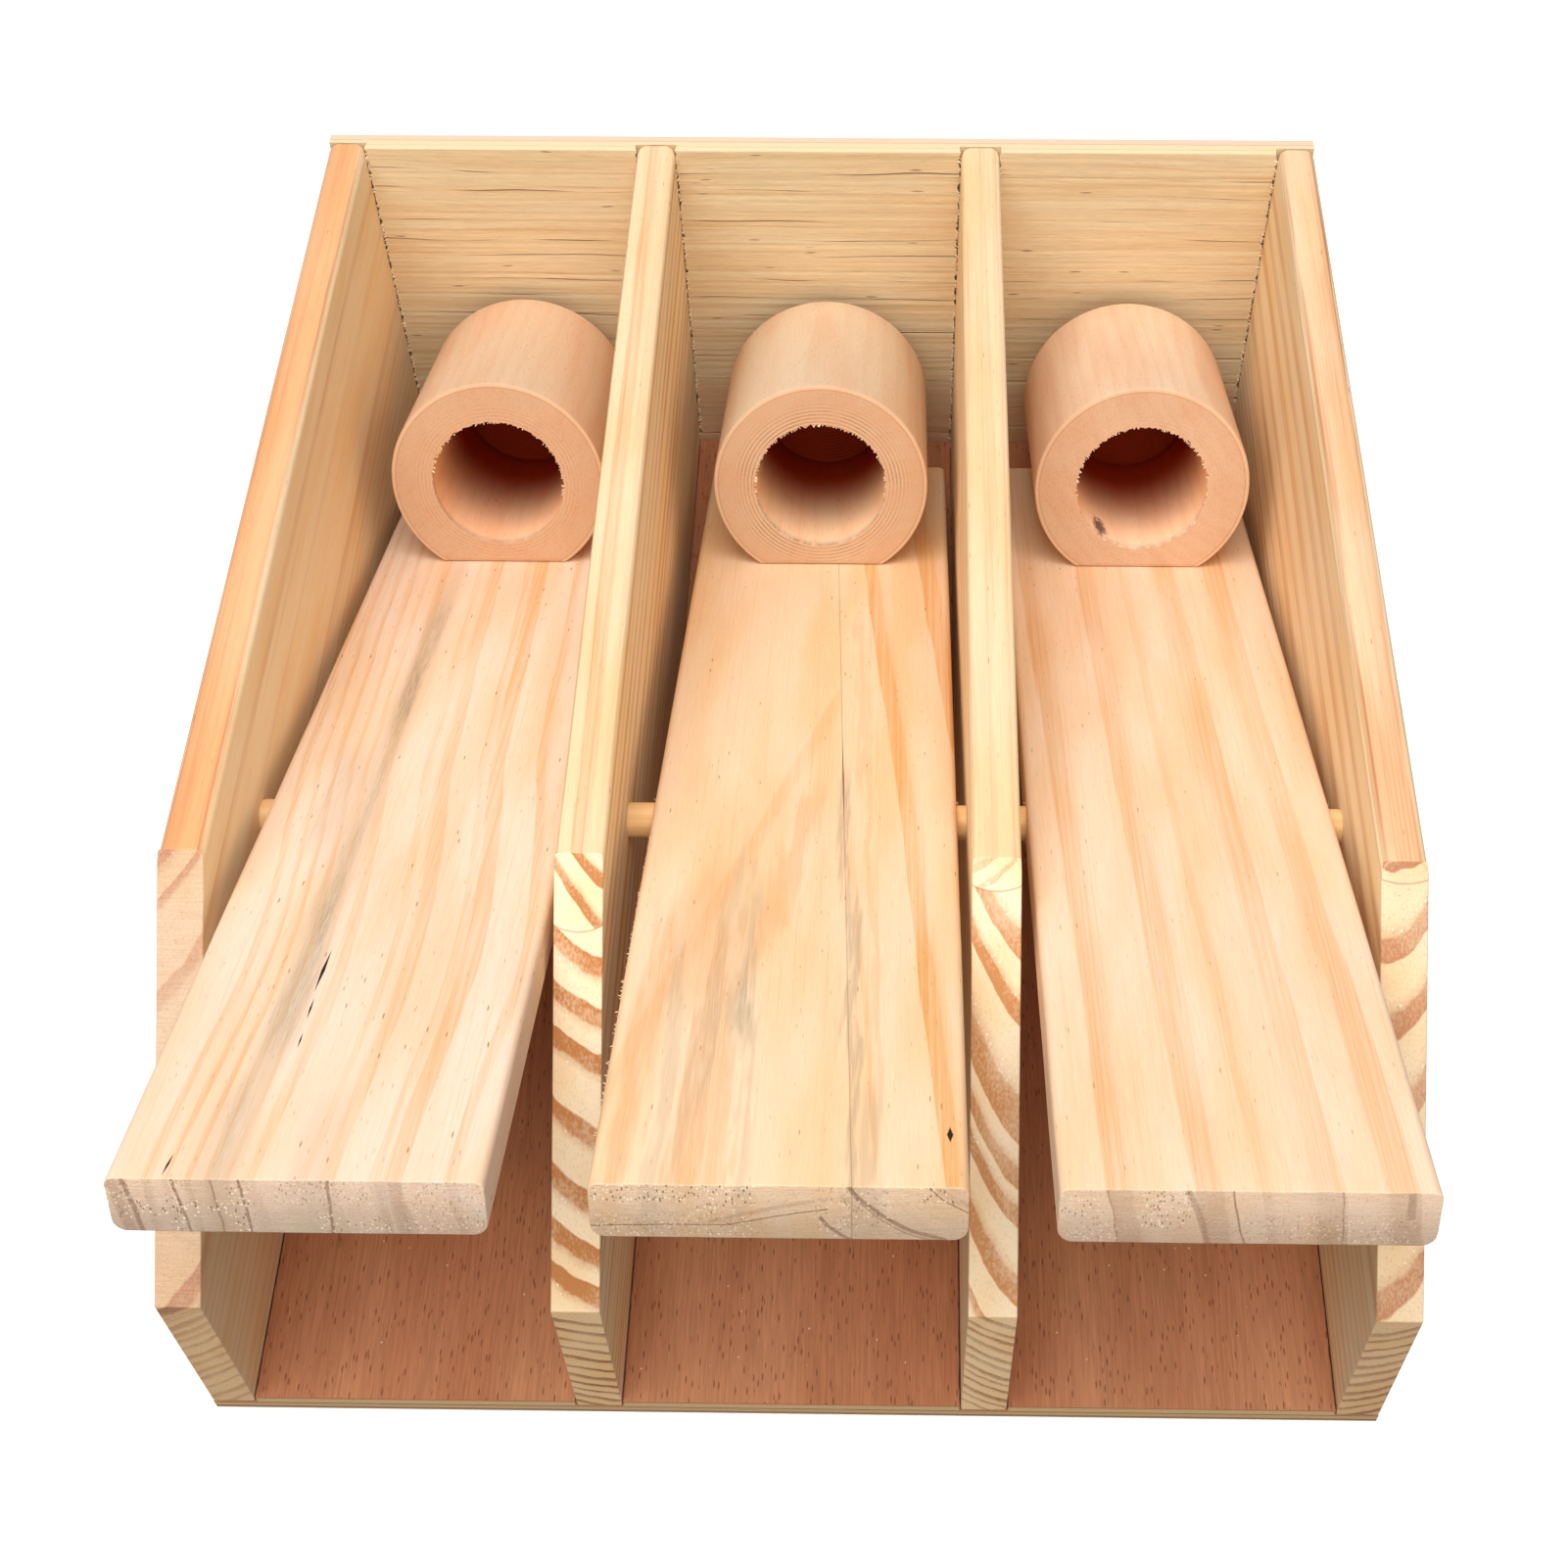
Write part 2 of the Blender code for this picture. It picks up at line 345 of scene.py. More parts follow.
def crack_mask(g, u, y, cracks):
    """Thin splits along the grain: (u, y, length, width, slant), in millimetres."""
    total = 0.0
    for at_u, at_y, length, width, slant in cracks:
        along = g.abs(g.minus(y, at_y))
        share = g.math("DIVIDE", along, length / 2)
        line = g.plus(g.times(g.minus(y, at_y), slant), at_u)
        across = g.math("DIVIDE", g.abs(g.minus(u, line)), width / 2)
        total = g.plus(total, g.step(g.plus(across, share), 1.15, 0.75))
    return g.math("ADD", total, 0.0, clamp=True)


def arc_mask(g, u, v, arcs):
    """Curved lines on an end face: (u, v, u at its end, v at its end, bow, half width,
    strength), in millimetres."""
    total = 0.0
    for u0, v0, u1, v1, bow, half, strength in arcs:
        du, dv = u1 - u0, v1 - v0
        length = math.hypot(du, dv)
        from_u, from_v = g.minus(u, u0), g.minus(v, v0)
        share = g.plus(g.times(from_u, du / length ** 2), g.times(from_v, dv / length ** 2))
        side = g.minus(g.times(from_v, du / length), g.times(from_u, dv / length))
        bowed = g.minus(side, g.times(g.times(share, g.minus(1.0, share)), 4 * bow))
        line = g.step(g.abs(bowed), half, half * 0.35)
        within = g.window(share, -0.02, 1.02, 0.05)
        total = g.math("MAXIMUM", total, g.times(g.times(line, within), strength))
    return total


def zone_mask(g, u, v, zones):
    """Soft rectangles on an end face: (u from, u to, v from, v to, strength)."""
    total = 0.0
    for u0, u1, v0, v1, strength in zones:
        inside = g.times(g.window(u, u0, u1, 1.2), g.window(v, v0, v1, 0.5))
        total = g.math("MAXIMUM", total, g.times(inside, strength))
    return total


def seeded(g, p, seed):
    """The same place in a piece of noise of its own."""
    node = g.add("ShaderNodeVectorMath", operation="ADD")
    g.put(node.inputs[0], p)
    node.inputs[1].default_value = (seed * 37.0, seed * 91.0, seed * 53.0)
    return node.outputs[0]


def pine(name, location, tilt, on_edge, staves, seams=(), sag=0.0, streaks=(), cracks=(),
         flush=(), early=(255, 226, 186), late=(222, 156, 98), seed=0.0, top_tint=None, front_y=0.0,
         slope_grey=0.75, end_grey=0.75, end_rings=1.35, pores=0.6, face_v=0.0, seam_lean=0.0,
         specks=(0.9, 0.35), end_painted_shading=0.0, rough=1.0, fray=8.0, chin_tint=None, slope_tint=None,
         arcs=(), torn=()):
    """Pine with real growth rings, so that faces, edges and end grain agree.

    on_edge is True for a wall, whose width stands upright. seams are the glue lines
    between the staves, in u, and sag bows them. streaks are grey stains and flush
    orange ones. face_v is where v starts. slope_grey and end_grey dull the slanted and
    the square cuts through the grain, and end_painted_shading paints shade on the square ones:
    darker downwards, lighter at the top.
    arcs are ring lines and torn are rough zones on the front end alone.
    """
    g = Graph(name)
    local = g.place(location, tilt)
    x, y, z = g.split(local)
    u, v = (z, x) if on_edge else (x, z)
    v = g.minus(v, face_v)
    along = g.minus(y, front_y)
    normal = g.facing(tilt)
    end = g.step(g.abs(normal[1]), 0.30, 0.60)
    square = g.step(g.abs(normal[1]), 0.70, 0.92)
    p = seeded(g, local, seed)

    wander = g.times(g.minus(g.noise(p, (30, 130, 30), 1, 0.5), 0.5), 3.4)
    ripple = g.times(g.minus(g.noise(p, (3.2, 26, 3.2), 1, 0.5), 0.5), 1.1)
    bent = g.plus(u, g.plus(wander, ripple))

    bands = ring_bands(g, staves[0], bent, v, along)
    tint = staves[0].tint
    glue = 0.0
    seam_u = g.plus(u, g.times(g.minus(1.0, g.times(g.times(v, v), 1 / 14.0)), sag))
    if seam_lean:
        seam_u = g.plus(seam_u, g.times(y, seam_lean))
    for seam, stave in zip(seams, staves[1:]):
        beyond = g.step(seam_u, seam - 0.05, seam + 0.05)
        bands = g.blend(beyond, bands, ring_bands(g, stave, bent, v, along))
        tint = g.blend(beyond, tint, stave.tint)
        glue = g.plus(glue, g.window(seam_u, seam - 0.03, seam + 0.03, 0.10))

    # A ring isn't one flat band: fine lines run in it, and its darkness wanders
    tail = g.window(bands, 0.12, 0.40, 0.10)
    lines = g.noise(p, (0.42, 60, 0.42), 1, 0.6)
    patchy = g.noise(p, (8, 45, 8), 1, 0.5)
    grainy = g.times(g.step(lines, 0.30, 0.70, 0.60, 1.20), g.minus(1.0, end))
    streaked = g.plus(grainy, g.times(g.step(lines, 0.30, 0.70, 0.76, 1.10), end))
    strength = g.times(streaked, g.step(patchy, 0.3, 0.7, 0.75, 1.15))
    strength = g.times(strength, g.step(end, 0.0, 1.0, 1.0, end_rings))
    if on_edge:
        strength = g.times(strength, g.step(g.abs(normal[0]), 0.6, 0.95, 1.0, 0.62))
        strength = g.times(strength, g.step(normal[2], 0.85, 0.97, 1.0, 0.40))
    bands = g.math("MULTIPLY", bands, strength, clamp=True)
    faint = g.step(lines, 0.52, 0.78, 0.0, 0.20)
    bands = g.plus(bands, g.times(faint, g.minus(1.0, bands)))

    warm = tuple(level - less for level, less in zip(early, (3, 13, 24)))
    ground = g.mix(g.step(patchy, 0.32, 0.72), srgb(*early), srgb(*warm))
    tips = tuple(level * share for level, share in zip(late, (0.80, 0.80, 0.86)))
    colour = g.mix(bands, ground, g.mix(square, srgb(*late), srgb(*tips)))
    fibre = g.noise(p, (0.17, 6, 0.17), 2, 0.7)
    colour = g.shade(colour, g.times(g.step(fibre, 0.25, 0.75, 0.93, 1.035), tint))
    if top_tint:
        up = g.step(normal[2], 0.72, 0.97)
        colour = g.mix(up, colour, g.mix(1.0, colour, top_tint, "MULTIPLY"))

    # Resin canals: short dark dashes on the faces, pale dusty specks on end grain
    dash = g.spots(p, (1.5, 9, 1.5), 0.105, 0.05, 0.42, 0.55)
    fine_dash = g.spots(p, (0.75, 5.5, 0.75), 0.16, 0.07, 0.5, 0.6, 0.5)
    dash = g.math("MAXIMUM", dash, fine_dash)
    dash = g.times(dash, g.minus(1.0, end))
    colour = g.mix(g.times(dash, pores), colour, srgb(158, 100, 54))
    speck = g.spots(p, (0.62, 9.0, 0.62), 0.30, 0.17, 0.50, 0.60)
    cloud = g.plus(g.times(patchy, specks[0]), g.times(tail, specks[1]))
    speck = g.times(g.times(speck, end), g.step(cloud, 0.42, 0.62))
    pits = g.noise(p, (0.30, 1.4, 0.30), 2, 0.7)
    pit = g.times(g.step(pits, 0.60, 0.72), g.times(end, rough))

    # End grain is duller, with the saw's and sander's marks across it
    scratch = g.noise(p, (6, 0.25, 0.20), 1, 0.6)
    dull = g.mix(0.42, colour, srgb(206, 178, 156))
    dull = g.shade(dull, g.times(g.step(scratch, 0.25, 0.75, 0.86, 1.06),
                                 g.step(pits, 0.3, 0.55, 1.0 - 0.12 * rough, 1.0 + 0.03 * rough)))
    # Painted shade and light on the square end faces: darker towards the bottom, lighter at the top
    if end_painted_shading:
        dull = g.shade(dull, g.step(v, -TREADLE_THICKNESS / MM, 0.0, 1.0 - end_painted_shading, 1.0 + end_painted_shading * 0.4))
    cut = g.plus(g.times(end, slope_grey), g.times(square, end_grey - slope_grey))
    colour = g.mix(cut, colour, dull)
    colour = g.mix(g.times(speck, 0.75), colour, srgb(255, 240, 216))
    colour = g.mix(g.times(pit, 0.55), colour, srgb(150, 112, 84))
    if slope_tint:
        colour = g.mix(g.minus(end, square), colour, g.mix(1.0, colour, slope_tint, "MULTIPLY"))
    if chin_tint:
        colour = g.mix(square, colour, g.mix(1.0, colour, chin_tint, "MULTIPLY"))

    dark = 0.0
    if streaks:
        ragged = g.times(g.minus(g.noise(p, (2.2, 26, 2.2), 2, 0.6), 0.5), fray)
        shifted = g.plus(u, ragged)
        faded = g.step(square, 0.0, 1.0, 1.0, 0.25)
        colour = g.mix(g.times(stain_mask(g, shifted, y, flush, fibre), faded), colour, srgb(226, 158, 98))
        colour = g.mix(stain_mask(g, shifted, y, streaks, fibre), colour, srgb(180, 156, 126))
    ripped = 0.0
    if arcs:
        front_end = g.times(square, g.step(along, 4.0, 1.0))
        edge_u, edge_v = g.plus(u, g.times(ripple, 0.4)), g.plus(v, g.times(ripple, 0.3))
        line = g.times(arc_mask(g, edge_u, edge_v, arcs), front_end)
        colour = g.mix(g.times(line, g.step(pits, 0.3, 0.6, 1.0, 0.7)), colour, srgb(140, 104, 76))
        hole = g.spots(p, (0.42, 3.0, 0.95), 0.36, 0.20, 0.36, 0.44)
        chip = g.spots(p, (0.55, 3.0, 0.62), 0.40, 0.24, 0.42, 0.50)
        zone = g.times(zone_mask(g, u, v, torn), front_end)
        ripped = g.times(hole, zone)
        colour = g.mix(g.times(g.times(chip, zone), 0.85), colour, srgb(255, 238, 206))
        colour = g.mix(g.times(ripped, 0.75), colour, srgb(126, 88, 58))
    if cracks:
        dark = crack_mask(g, u, y, cracks)
        colour = g.mix(dark, colour, srgb(38, 24, 16))
    if seams:
        colour = g.mix(g.times(glue, 0.50), colour, srgb(150, 100, 60))

    relief = g.plus(fibre, g.times(g.times(end, pits), 1.6))
    if arcs:
        relief = g.minus(relief, g.times(ripped, 1.5))
    if cracks:
        relief = g.minus(relief, g.times(dark, 3.0))
    return g.finish(colour, g.step(fibre, 0.2, 0.8, 0.52, 0.68), relief, 0.045)


# ------------------------------------------------------------------ other woods

def beech(name, location, tilt, seed, centre, turned, knot=None, early=(225, 198, 166)):
    """Beech: pinkish tan with soft rings and short ray flecks. turned is how strongly
    the concentric marks of the cutter show on the end face."""
    g = Graph(name)
    local = g.place(location, tilt)
    x, y, z = g.split(local)
    normal = g.facing(tilt)
    end = g.step(g.abs(normal[1]), 0.35, 0.7)
    p = seeded(g, local, seed)

    # Growth rings across the block, and the blush of its wood
    bend = g.times(g.minus(g.noise(p, (14, 60, 14), 1, 0.5), 0.5), 7.0)
    dx = g.plus(g.minus(x, centre[0]), bend)
    dz = g.minus(z, centre[1])
    distance = g.math("SQRT", g.plus(g.times(dx, dx), g.times(dz, dz)))
    share = g.math("FRACT", g.math("DIVIDE", distance, 3.1))
    ring = g.times(g.step(share, 0.35, 0.95), g.step(share, 0.96, 1.0, 1.0, 0.0))
    blush = g.step(g.noise(p, (8, 40, 8), 1, 0.55), 0.36, 0.72)
    colour = g.mix(g.times(ring, 0.16), srgb(*early), srgb(214, 160, 120))
    colour = g.mix(g.times(blush, 0.34), colour, srgb(222, 160, 120))
    fibre = g.noise(p, (0.20, 5, 0.20), 2, 0.7)
    ray = g.spots(p, (0.75, 3.0, 0.75), 0.22, 0.10, 0.35, 0.5)
    colour = g.mix(g.times(ray, 0.34), colour, srgb(186, 122, 82))
    colour = g.shade(colour, g.step(fibre, 0.2, 0.8, 0.93, 1.04))

    # End face: the cutter's circles, swirls of crushed grain and scattered pores
    from_axis = g.math("SQRT", g.plus(g.times(x, x), g.times(z, z)))
    circles = g.step(g.math("SINE", g.times(from_axis, 2 * math.pi / 0.74)), -0.9, 0.55, -1.0, 0.35)
    uneven = g.noise(p, (5, 5, 5), 1, 0.5)
    near_bore = g.times(g.step(from_axis, 14.5, 19.0, 1.0, 0.06), g.step(uneven, 0.35, 0.65, 0.55, 1.2))
    cut = g.times(g.times(circles, near_bore), turned)
    swirl = g.noise(p, (0.45, 2, 0.45), 2, 0.75)
    pits = g.step(swirl, 0.60, 0.70)
    face = g.mix(0.55, colour, srgb(206, 158, 118))
    face = g.shade(face, g.plus(g.step(swirl, 0.25, 0.75, 0.90, 1.05), g.times(cut, 0.24)))
    face = g.mix(g.times(pits, 0.30), face, srgb(160, 104, 70))
    colour = g.mix(end, colour, face)
    # A thin dark ring near the face's outer edge, and outside it a painted highlight along the chamfer
    line = g.window(from_axis, 20.55, 20.62, 0.12)
    colour = g.mix(g.times(g.times(line, end), 0.34), colour, srgb(170, 112, 76))
    outer = g.step(from_axis, 20.7, 20.85)
    colour = g.mix(g.times(g.times(outer, end), 0.30), colour, srgb(250, 214, 172))

    # Painted highlight: a pale line where the turned edge is eased
    rim = g.window(end, 0.25, 0.6, 0.2)
    colour = g.mix(g.times(rim, 0.10), colour, srgb(255, 222, 186))

    # Painted shade in the bore: darker and redder the deeper it goes, with painted light near its mouth and a
    # darker floor at the bottom
    inside = g.times(g.step(from_axis, BORE_R / MM + 0.5, BORE_R / MM + 0.15), g.step(y, 0.5, 2.5))
    inside = g.times(inside, g.step(y, BORE_DEPTH / MM + 2.0, BORE_DEPTH / MM + 1.5))
    deep = g.step(y, 12.0, 34.0)
    painted_bore_shading = g.mix(deep, srgb(255, 246, 236), srgb(190, 78, 32))
    painted_bore_shading = g.shade(painted_bore_shading, g.step(y, 2.0, 20.0, 1.35, 1.0))
    painted_bore_shading = g.shade(painted_bore_shading, g.step(y, BORE_DEPTH / MM - 4.0, BORE_DEPTH / MM - 0.2, 1.0, 0.80))
    colour = g.mix(inside, colour, g.mix(1.0, colour, painted_bore_shading, "MULTIPLY"))
    if knot:
        kx, ky, kz, size = knot
        away = g.join(g.minus(x, kx), g.times(g.minus(y, ky), 0.45), g.minus(z, kz))
        length = g.add("ShaderNodeVectorMath", operation="LENGTH")
        g.put(length.inputs[0], away)
        ragged = g.times(g.minus(g.noise(local, (0.6, 1.4, 0.6), 3, 0.7), 0.5), 3.4)
        spot = g.step(g.plus(length.outputs["Value"], ragged), size, size * 0.35)
        colour = g.mix(g.times(spot, 0.85), colour, srgb(70, 48, 40))

    relief = g.plus(g.times(fibre, 0.6), g.times(g.times(end, cut), 0.5))
    relief = g.plus(relief, g.times(g.times(end, swirl), 0.8))
    return g.finish(colour, g.step(fibre, 0.2, 0.8, 0.56, 0.70), relief, 0.05, 0.10)


def plywood_layers(g, depth, top, layers, end):
    """Colours of a sheet's edge by depth; each layer is (where it starts, colour)."""
    colour = layers[0][1]
    for start, layer in layers[1:]:
        colour = g.mix(g.step(depth, start - 0.06, start + 0.06), colour, layer)
    return g.mix(end, top, colour)


def red_plywood():
    """Base sheet: red-brown face veneer with open pores along Y, pale plies inside."""
    g = Graph("red_plywood")
    p = g.place()
    z = g.split(p)[2]
    normal = g.facing()
    edge = g.step(g.abs(normal[2]), 0.75, 0.45)
    broad = g.noise(p, (14, 90, 14), 2, 0.55)
    colour = g.mix(g.step(broad, 0.3, 0.72), srgb(200, 138, 98), srgb(184, 118, 80))
    fine = g.noise(p, (0.34, 9, 0.34), 3, 0.6)
    colour = g.shade(colour, g.step(fine, 0.25, 0.75, 0.80, 1.10))
    dash = g.spots(p, (0.62, 3.4, 0.62), 0.27, 0.14, 0.30, 0.42)
    colour = g.mix(g.times(dash, 0.72), colour, srgb(128, 68, 42))
    dust = g.spots(p, (2.4, 2.4, 2.4), 0.09, 0.05, 0.80, 0.84)
    colour = g.mix(g.times(dust, 0.8), colour, srgb(244, 214, 180))

    cross = g.noise(p, (0.5, 0.5, 0.2), 2, 0.6)
    layers = [(0.0, srgb(184, 138, 98)), (0.55, srgb(136, 112, 84)), (0.85, srgb(222, 180, 128)),
              (2.15, srgb(126, 104, 78)), (2.45, srgb(230, 188, 136)), (4.15, srgb(186, 126, 86))]
    edge_colour = plywood_layers(g, z, colour, layers, 1.0)
    edge_colour = g.shade(edge_colour, g.step(cross, 0.25, 0.75, 0.90, 1.04))
    colour = g.mix(edge, colour, edge_colour)
    relief = g.minus(g.times(fine, 0.5), g.times(dash, 0.9))
    return g.finish(colour, 0.66, relief, 0.07, 0.3)


def pale_plywood():
    """Back sheet: pale veneer with its grain across, dark hairline checks and a
    pinkish outer ply."""
    g = Graph("pale_plywood")
    p = g.place()
    x, y, z = g.split(p)
    normal = g.facing()
    edge = g.step(g.abs(normal[1]), 0.75, 0.45)
    wave = g.times(g.minus(g.noise(p, (60, 60, 12), 2, 0.5), 0.5), 5.0)
    height = g.plus(z, wave)
    grain = g.join(x, y, height)
    broad = g.noise(grain, (70, 8, 5.5), 1, 0.55)
    colour = g.mix(g.step(broad, 0.3, 0.7), srgb(246, 226, 186), srgb(243, 217, 172))
    lines = g.noise(grain, (40, 4, 0.7), 2, 0.6)
    colour = g.mix(g.step(lines, 0.50, 0.72, 0.0, 0.50), colour, srgb(226, 184, 130))
    colour = g.mix(g.step(lines, 0.42, 0.28, 0.0, 0.40), colour, srgb(255, 240, 204))
    hair = g.noise(grain, (55, 4, 0.26), 1, 0.6)
    colour = g.mix(g.step(hair, 0.60, 0.76, 0.0, 0.55), colour, srgb(206, 156, 100))
    fine = g.noise(grain, (5, 2, 0.18), 2, 0.7)
    colour = g.shade(colour, g.step(fine, 0.25, 0.75, 0.88, 1.06))
    pink = g.window(g.plus(z, g.times(wave, 0.6)), 0.0, 20.0, 3.0)
    colour = g.mix(g.times(pink, 0.35), colour, srgb(226, 170, 134))

    # Hairline checks run across the sheet, each over part of its width
    check_height = g.times(height, 1 / 5.6)
    row = g.math("FLOOR", check_height)
    within = g.math("FRACT", check_height)
    chance = g.add("ShaderNodeTexWhiteNoise", noise_dimensions="1D")
    g.put(chance.inputs["W"], row)
    middle = g.step(chance.outputs["Value"], 0.0, 1.0, 0.25, 0.75)
    off = g.abs(g.minus(within, middle))
    reach = g.step(g.noise(g.join(x, g.times(row, 31.0), 0.0), (38, 1, 1), 2, 0.5), 0.46, 0.60)
    check = g.times(g.step(off, 0.030, 0.008), reach)
    dash = g.spots(grain, (11, 6, 1.5), 0.16, 0.06, 0.62, 0.7)
    crack = g.math("MAXIMUM", check, g.times(dash, 0.8))
    colour = g.mix(g.times(crack, 0.80), colour, srgb(120, 78, 44))

    depth = g.minus(BACK / MM, y)
    layers = [(0.0, srgb(238, 200, 172)), (1.5, srgb(214, 180, 150)), (1.75, srgb(240, 210, 168)),
              (3.1, srgb(220, 188, 148)), (3.3, srgb(242, 214, 172))]
    edge_colour = plywood_layers(g, depth, colour, layers, 1.0)
    edge_colour = g.shade(edge_colour, g.step(g.noise(p, (1.6, 0.25, 1.6), 2, 0.6), 0.25, 0.75, 0.95, 1.03))
    outer = g.mix(g.step(g.noise(p, (70, 8, 6), 2, 0.5), 0.3, 0.7), srgb(232, 188, 148), srgb(220, 168, 126))
    outer = g.shade(outer, g.step(fine, 0.2, 0.8, 0.93, 1.04))
    is_outer = g.step(normal[1], 0.5, 0.8)
    colour = g.mix(is_outer, colour, outer)
    colour = g.mix(edge, colour, edge_colour)
    relief = g.minus(g.plus(g.times(fine, 0.4), g.times(lines, 0.5)), g.times(crack, 1.4))
    return g.finish(colour, 0.64, relief, 0.07, 0.3)


def dowel_wood():
    """Birch dowel: golden, with fine straight grain and pale end faces."""
    g = Graph("dowel_wood")
    p = g.place()
    normal = g.facing()
    end = g.step(g.abs(normal[0]), 0.4, 0.7)
    fine = g.noise(p, (9, 0.2, 0.2), 3, 0.6)
    broad = g.noise(p, (40, 1.6, 1.6), 2, 0.5)
    colour = g.mix(g.step(broad, 0.3, 0.7), srgb(252, 210, 150), srgb(242, 190, 124))
    colour = g.shade(colour, g.step(fine, 0.2, 0.8, 0.92, 1.04))
    pores = g.noise(p, (0.3, 0.25, 0.25), 2, 0.6)
    colour = g.mix(end, colour, g.shade(srgb(226, 182, 134), g.step(pores, 0.3, 0.7, 0.8, 1.05)))
    return g.finish(colour, 0.5, fine, 0.03, 0.4)


def brad_steel():
    g = Graph("brad_steel")
    p = g.place()
    scuffs = g.noise(p, (0.25, 0.25, 0.25), 3, 0.6)
    colour = g.mix(scuffs, srgb(176, 176, 178), srgb(146, 144, 142))
    g.shader.inputs["Metallic"].default_value = 1.0
    return g.finish(colour, g.step(scuffs, 0.3, 0.7, 0.28, 0.45), scuffs, 0.01, 0.5)


def torn_fibre():
    """Pale torn ends of fibres, on rims and cut edges."""
    g = Graph("torn_fibre")
    p = g.place()
    mottle = g.noise(p, (0.4, 0.4, 0.4), 2, 0.6)
    colour = g.mix(mottle, srgb(255, 236, 206), srgb(246, 214, 170))
    return g.finish(colour, 0.8, mottle, 0.02, 0.2)


# ------------------------------------------------------------------ mesh helpers

def loft(bm, rings):
    """Join rings of points with quads and close both ends."""
    loops = [[bm.verts.new(point) for point in ring] for ring in rings]
    count = len(loops[0])
    for low, high in zip(loops, loops[1:]):
        for i in range(count):
            j = (i + 1) % count
            bm.faces.new((low[i], low[j], high[j], high[i]))
    bm.faces.new(list(reversed(loops[0])))
    bm.faces.new(loops[-1])


def mesh_object(name, bm):
    bmesh.ops.recalc_face_normals(bm, faces=bm.faces)
    mesh = bpy.data.meshes.new(name)
    bm.to_mesh(mesh)
    bm.free()
    obj = bpy.data.objects.new(name, mesh)
    bpy.context.scene.collection.objects.link(obj)
    return obj


def bake_modifiers(obj):
    """Replace the mesh by what its modifiers make of it."""
    bpy.context.view_layer.update()
    graph = bpy.context.evaluated_depsgraph_get()
    made = bpy.data.meshes.new_from_object(obj.evaluated_get(graph))
    obj.modifiers.clear()
    obj.data = made


def cut_cylinders(obj, holes, segments=48):
    """Cut round holes: (radius, start, end)."""
    bm = bmesh.new()
    for radius, start, end in holes:
        start, end = Vector(start), Vector(end)
        turn = (end - start).to_track_quat("Z", "Y").to_matrix()
        rings = []
        for point in (start, end):
            angles = [2 * math.pi * i / segments for i in range(segments)]
            spokes = [Vector((radius * math.cos(a), radius * math.sin(a), 0)) for a in angles]
            rings.append([point + turn @ spoke for spoke in spokes])
        loft(bm, rings)
    cutter = mesh_object("cutter", bm)
    cut = obj.modifiers.new("holes", "BOOLEAN")
    cut.operation = "DIFFERENCE"
    cut.object = cutter
    bake_modifiers(obj)
    bpy.data.objects.remove(cutter, do_unlink=True)


def smooth_sharp(obj, degrees=32):
    """Smooth shading with sharp creases, and flat faces kept flat."""
    obj.data.shade_smooth()
    obj.data.set_sharp_from_angle(angle=math.radians(degrees))
    weighted = obj.modifiers.new("flat_faces", "WEIGHTED_NORMAL")
    weighted.keep_sharp = True
    bake_modifiers(obj)


def add_fibres(obj, roots, chance):
    """Add thin torn slivers: roots are (point, direction, length, width)."""
    bm = bmesh.new()
    bm.from_mesh(obj.data)
    slot = len(obj.data.materials) - 1
    for point, direction, length, width in roots:
        direction = Vector(direction).normalized()
        side = direction.orthogonal().normalized()
        other = direction.cross(side)
        bend = (side * chance.uniform(-1, 1) + other * chance.uniform(-1, 1)) * length * 0.35
        rings = []
        for share, size in ((-0.25, 1.0), (0.45, 0.75), (1.0, 0.15)):
            middle = Vector(point) + direction * length * share + bend * share * share
            angles = [2 * math.pi * k / 3 + share for k in range(3)]
            spokes = [side * math.cos(a) + other * math.sin(a) for a in angles]
            rings.append([middle + spoke * width / 2 * size for spoke in spokes])
        before = set(bm.faces)
        loft(bm, rings)
        for face in set(bm.faces) - before:
            face.material_index = slot
            face.normal_update()
    bmesh.ops.recalc_face_normals(bm, faces=bm.faces)
    bm.to_mesh(obj.data)
    bm.free()


def finish_piece(obj, materials, body, node):
    obj.data.materials.clear()
    for material in materials:
        obj.data.materials.append(material)
    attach(obj, body)
    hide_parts(node)


# ------------------------------------------------------------------ walls

def make_wall(node, material):
    """A wall board with its rounded long edges, worn slope edges and dowel hole."""
    low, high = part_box(node)
    outline = [(FRONT, low.z), (high.y, low.z), (high.y, high.z),
               (FRONT + SLOPE_RUN, high.z), (FRONT, CHIN_HEIGHT)]
    bm = bmesh.new()
    near = [bm.verts.new((low.x, y, z)) for y, z in outline]
    far = [bm.verts.new((high.x, y, z)) for y, z in outline]
    bm.faces.new(near)
    bm.faces.new(list(reversed(far)))
    for i in range(len(outline)):
        j = (i + 1) % len(outline)
        bm.faces.new((near[i], far[i], far[j], near[j]))
    weights = bm.edges.layers.float.new("bevel_weight_edge")
    for edge in bm.edges:
        a, b = (vert.co for vert in edge.verts)
        lengthwise = abs(a.x - b.x) < 1e-6
        level = abs(a.z - b.z) < 1e-6
        at_back = min(a.y, b.y) > high.y - 1e-6
        edge[weights] = 1.0 if lengthwise and (level or at_back) else 0.13
    obj = mesh_object(node + "_board", bm)
    rounding = obj.modifiers.new("rounding", "BEVEL")
    rounding.limit_method = "WEIGHT"
    rounding.width = BOARD_ROUND
    rounding.segments = 6
    bake_modifiers(obj)
    margin = 5 * MM
    hole_r = DOWEL_R + 0.12 * MM
    start = (low.x - margin, PIVOT.y, PIVOT.z)
    end = (high.x + margin, PIVOT.y, PIVOT.z)
    cut_cylinders(obj, [(hole_r, start, end)])
    smooth_sharp(obj)
    finish_piece(obj, [material], "box", node)


